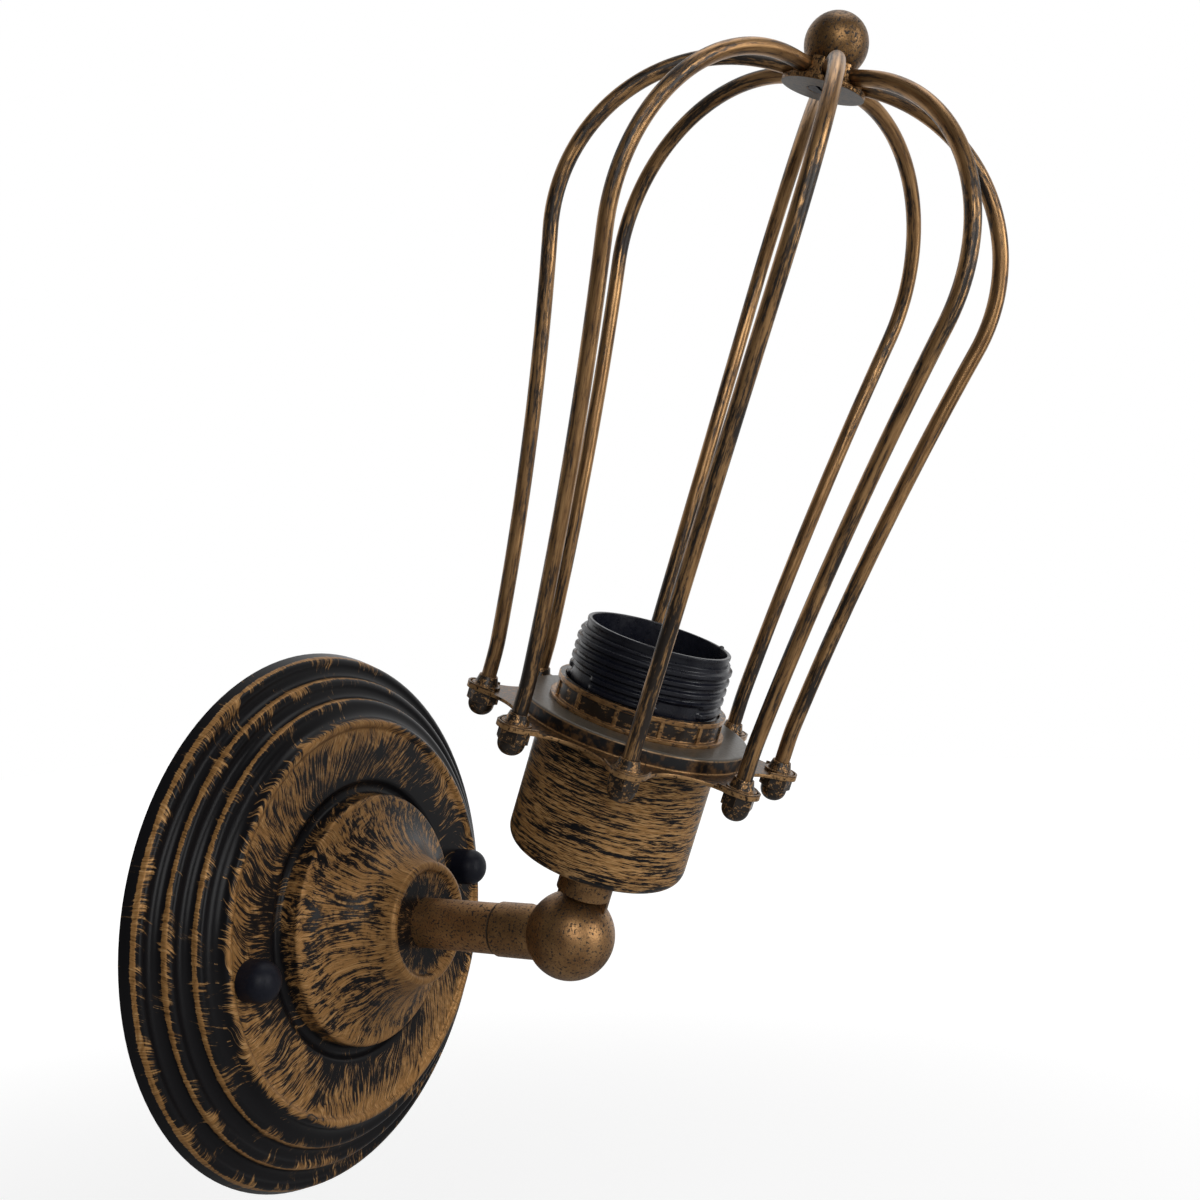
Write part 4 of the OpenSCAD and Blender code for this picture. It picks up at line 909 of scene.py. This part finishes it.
def build_object():
    smooth_copy("wall_plate", "pressed_plate", plate_material(), "wall_side")
    smooth_copy("cage_base", "pressed_cage_base", cage_base_material(), "lamp_head")
    build_wires(wire_material())
    build_skirt(black_plastic("skirt_plastic", 0.30, grain=700.0, specular=0.35))

    dress(cup_material(), "lamp_cup")
    # The arm's bronze is set lighter, with deep=1.25, as painted light on an arm that the lamps
    # leave dim
    dress(cast_material("cast_bronze_arm_painted_light", on_lamp=False, coverage=0.050, deep=1.25,
                        joint=ARM_JOINT_H), "arm_tube")
    dress(cast_material("cast_bronze_ball", on_lamp=False, coverage=0.035, deep=0.75,
                        joint=ARM_JOINT_H), "knuckle_arm_half")
    dress(cast_material("cast_bronze_neck", on_lamp=True, coverage=0.04), "knuckle_lamp_half")
    # The finial's bronze is set darker, with deep=0.20 and its own pale, as painted shade
    dress(cast_material("cast_bronze_finial_painted_shade", on_lamp=True, coverage=0.05, deep=0.20,
                        pale=FINIAL_PALE_SHADED), "finial_ball")
    dress(ring_material(), "shade_ring")
    dress(mottled_material("mottled_collars", coverage=-0.02, fine=1.5, edge_r=0.3 * MM,
                           edge_gold_and_highlight=0.7), "wire_collars", "pivot_screw")
    dress(mottled_material("mottled_nuts", coverage=-0.14, fine=1.1, edge_r=0.35 * MM,
                           edge_gold_and_highlight=0.8), "wire_nuts")
    dress(mottled_material("mottled_hub", coverage=0.16, fine=1.1, edge_r=0.5 * MM,
                           edge_gold_and_highlight=0.6, underside=True), "cage_hub")

    # The hub screw is black as its paint and in part as painted shade in the hub's dark centre
    dress(black_plastic("cap_plastic", 0.44, grain=1200.0, specular=0.16),
          "cap_nuts", "holder_base_cap", "hub_screw")
    dress(plain_metal("zinc_steel", ZINC, 0.32),
          "wall_strap", "strap_studs", "stud_nuts", "block_screw", "arm_rod", "rod_washer",
          "rod_nut", "pivot_washer", "cup_nipple", "cup_nut")
    dress(plain_metal("brass_plain", BRASS, 0.28),
          "earth_screw", "earth_washer", "connector_screws", "earth_tag", "screw_shell",
          "centre_contact", "holder_terminals")
    dress(plain_solid("moulded_nylon", NYLON, 0.45), "connector_block")
    dress(plain_solid("porcelain_core", PORCELAIN, 0.22), "holder_core")
    dress(plain_solid("lead_black", LEAD_BLACK, 0.5), "supply_leads", "holder_leads")
    dress(plain_solid("lead_green", LEAD_GREEN, 0.45), "earth_lead")


# ---------------------------------------------------------------- camera

IMAGE_PX = 1200
FOCAL_PX = 1352.0
CAMERA_AZIMUTH = math.radians(-61.56)
CAMERA_ELEVATION = math.radians(-0.72)
CAMERA_ROLL = math.radians(-2.45)
ORIGIN_DEPTH = 389.6 * MM
ORIGIN_PX = (323.6, 913.7)
SENSOR_MM = 36


def build_camera():
    """Puts the camera where the photograph was taken, by where the model's origin lies in it."""
    back = Vector((math.sin(CAMERA_AZIMUTH) * math.cos(CAMERA_ELEVATION),
                   -math.cos(CAMERA_AZIMUTH) * math.cos(CAMERA_ELEVATION),
                   math.sin(CAMERA_ELEVATION)))
    level_right = Vector((0, 0, 1)).cross(back).normalized()
    level_up = back.cross(level_right)
    right = math.cos(CAMERA_ROLL) * level_right + math.sin(CAMERA_ROLL) * level_up
    up = math.cos(CAMERA_ROLL) * level_up - math.sin(CAMERA_ROLL) * level_right
    across = (ORIGIN_PX[0] - IMAGE_PX / 2) / FOCAL_PX * ORIGIN_DEPTH
    down = (ORIGIN_PX[1] - IMAGE_PX / 2) / FOCAL_PX * ORIGIN_DEPTH
    centre = ORIGIN_DEPTH * back - across * right + down * up
    data = bpy.data.cameras.new("camera")
    data.sensor_width = SENSOR_MM
    data.lens = FOCAL_PX * SENSOR_MM / IMAGE_PX
    data.clip_start = 0.01
    camera = bpy.data.objects.new("camera", data)
    turn = Matrix((right, up, back)).transposed().to_4x4()
    camera.matrix_world = Matrix.Translation(centre) @ turn
    bpy.context.scene.collection.objects.link(camera)
    bpy.context.scene.camera = camera


# ---------------------------------------------------------------- stage and light

FLOOR_Z = -0.30
FLOOR_HALF = 3.0
FLOOR_SHADE = 0.50
# Distances in metres over which the floor fades into the white surround, and how bright it starts
FLOOR_FADE = (0.55, 1.5)
FLOOR_GLOW = 0.70
# Polished surfaces mirror a white backdrop that lies this way, and elsewhere a dim room: how far
# that way the floor passes into it, in metres, and within which cosines of that way its edge lies
BACKDROP_WAY = (0.879, 0.476, 0.0)
BACKDROP_FLOOR = (0.3, 1.5)
BACKDROP_EDGE = (-0.1, 0.75)
ROOM_LEVEL = 0.07
WORLD_LEVEL = 0.16
# Each light's name, place, size and power; all are turned to the same point
LIGHT_AIM = (0, -0.09, 0.06)
LIGHTS = [("key", (-1.00, -0.95, 0.55), (0.7, 0.9), 8.5),
          ("front", (0.10, -1.25, 0.30), (0.5, 1.0), 7.5),
          ("top", (0.25, -0.30, 1.20), (0.6, 0.6), 2.4)]


def build_floor():
    """A pale floor well below the light that fades into the white surround."""
    mesh = bpy.data.meshes.new("floor")
    corners = [(x * FLOOR_HALF, y * FLOOR_HALF, FLOOR_Z)
               for x, y in ((-1, -1), (1, -1), (1, 1), (-1, 1))]
    mesh.from_pydata(corners, [], [(0, 1, 2, 3)])
    floor = bpy.data.objects.new("floor", mesh)
    bpy.context.scene.collection.objects.link(floor)
    shader = Shader("floor_pale")
    path, seen = shader.seen_white()
    where = shader.coordinates("Object")
    away = shader.smooth(shader.vector("LENGTH", where), *FLOOR_FADE, FLOOR_GLOW, 1.0)
    behind = shader.smooth(shader.vector("DOT_PRODUCT", where, BACKDROP_WAY), *BACKDROP_FLOOR)
    mirrored = shader.times(path["Is Glossy Ray"], behind)
    mesh.materials.append(shader.finish(
        Base_Color=(FLOOR_SHADE, FLOOR_SHADE, FLOOR_SHADE),
        Roughness=0.9,
        Emission_Color=(1, 1, 1),
        Emission_Strength=shader.math("MAXIMUM", shader.times(seen, away), mirrored)))


def build_world():
    """White to the camera, a backdrop and a dim room in reflections, and a little even light."""
    world = bpy.data.worlds.new("surround")
    bpy.context.scene.world = world
    world.use_nodes = True
    graph = Graph(world.node_tree)
    path, seen = graph.seen_white()
    way = graph.vector("DOT_PRODUCT", graph.coordinates("Generated"), BACKDROP_WAY)
    backdrop = graph.smooth(way, *BACKDROP_EDGE, ROOM_LEVEL, 1.0)
    mirrored = graph.times(path["Is Glossy Ray"], backdrop)
    diffuse = graph.times(graph.less(1.0, path["Is Glossy Ray"]), WORLD_LEVEL)
    background = graph.nodes["Background"].inputs
    graph.put(background["Color"], (1, 1, 1))
    graph.put(background["Strength"], graph.math("MAXIMUM", seen, graph.total(mirrored, diffuse)))


def build_lights():
    for name, place, size, power in LIGHTS:
        data = bpy.data.lights.new(name, "AREA")
        data.shape = "RECTANGLE"
        data.size, data.size_y = size
        data.energy = power
        lamp = bpy.data.objects.new(name, data)
        lamp.location = place
        aim = Vector(LIGHT_AIM) - Vector(place)
        lamp.rotation_euler = aim.to_track_quat("-Z", "Y").to_euler()
        bpy.context.scene.collection.objects.link(lamp)


# ---------------------------------------------------------------- the scene

build_object()
build_camera()
build_floor()
build_world()
build_lights()
scene = bpy.context.scene
scene.view_settings.view_transform = "Standard"
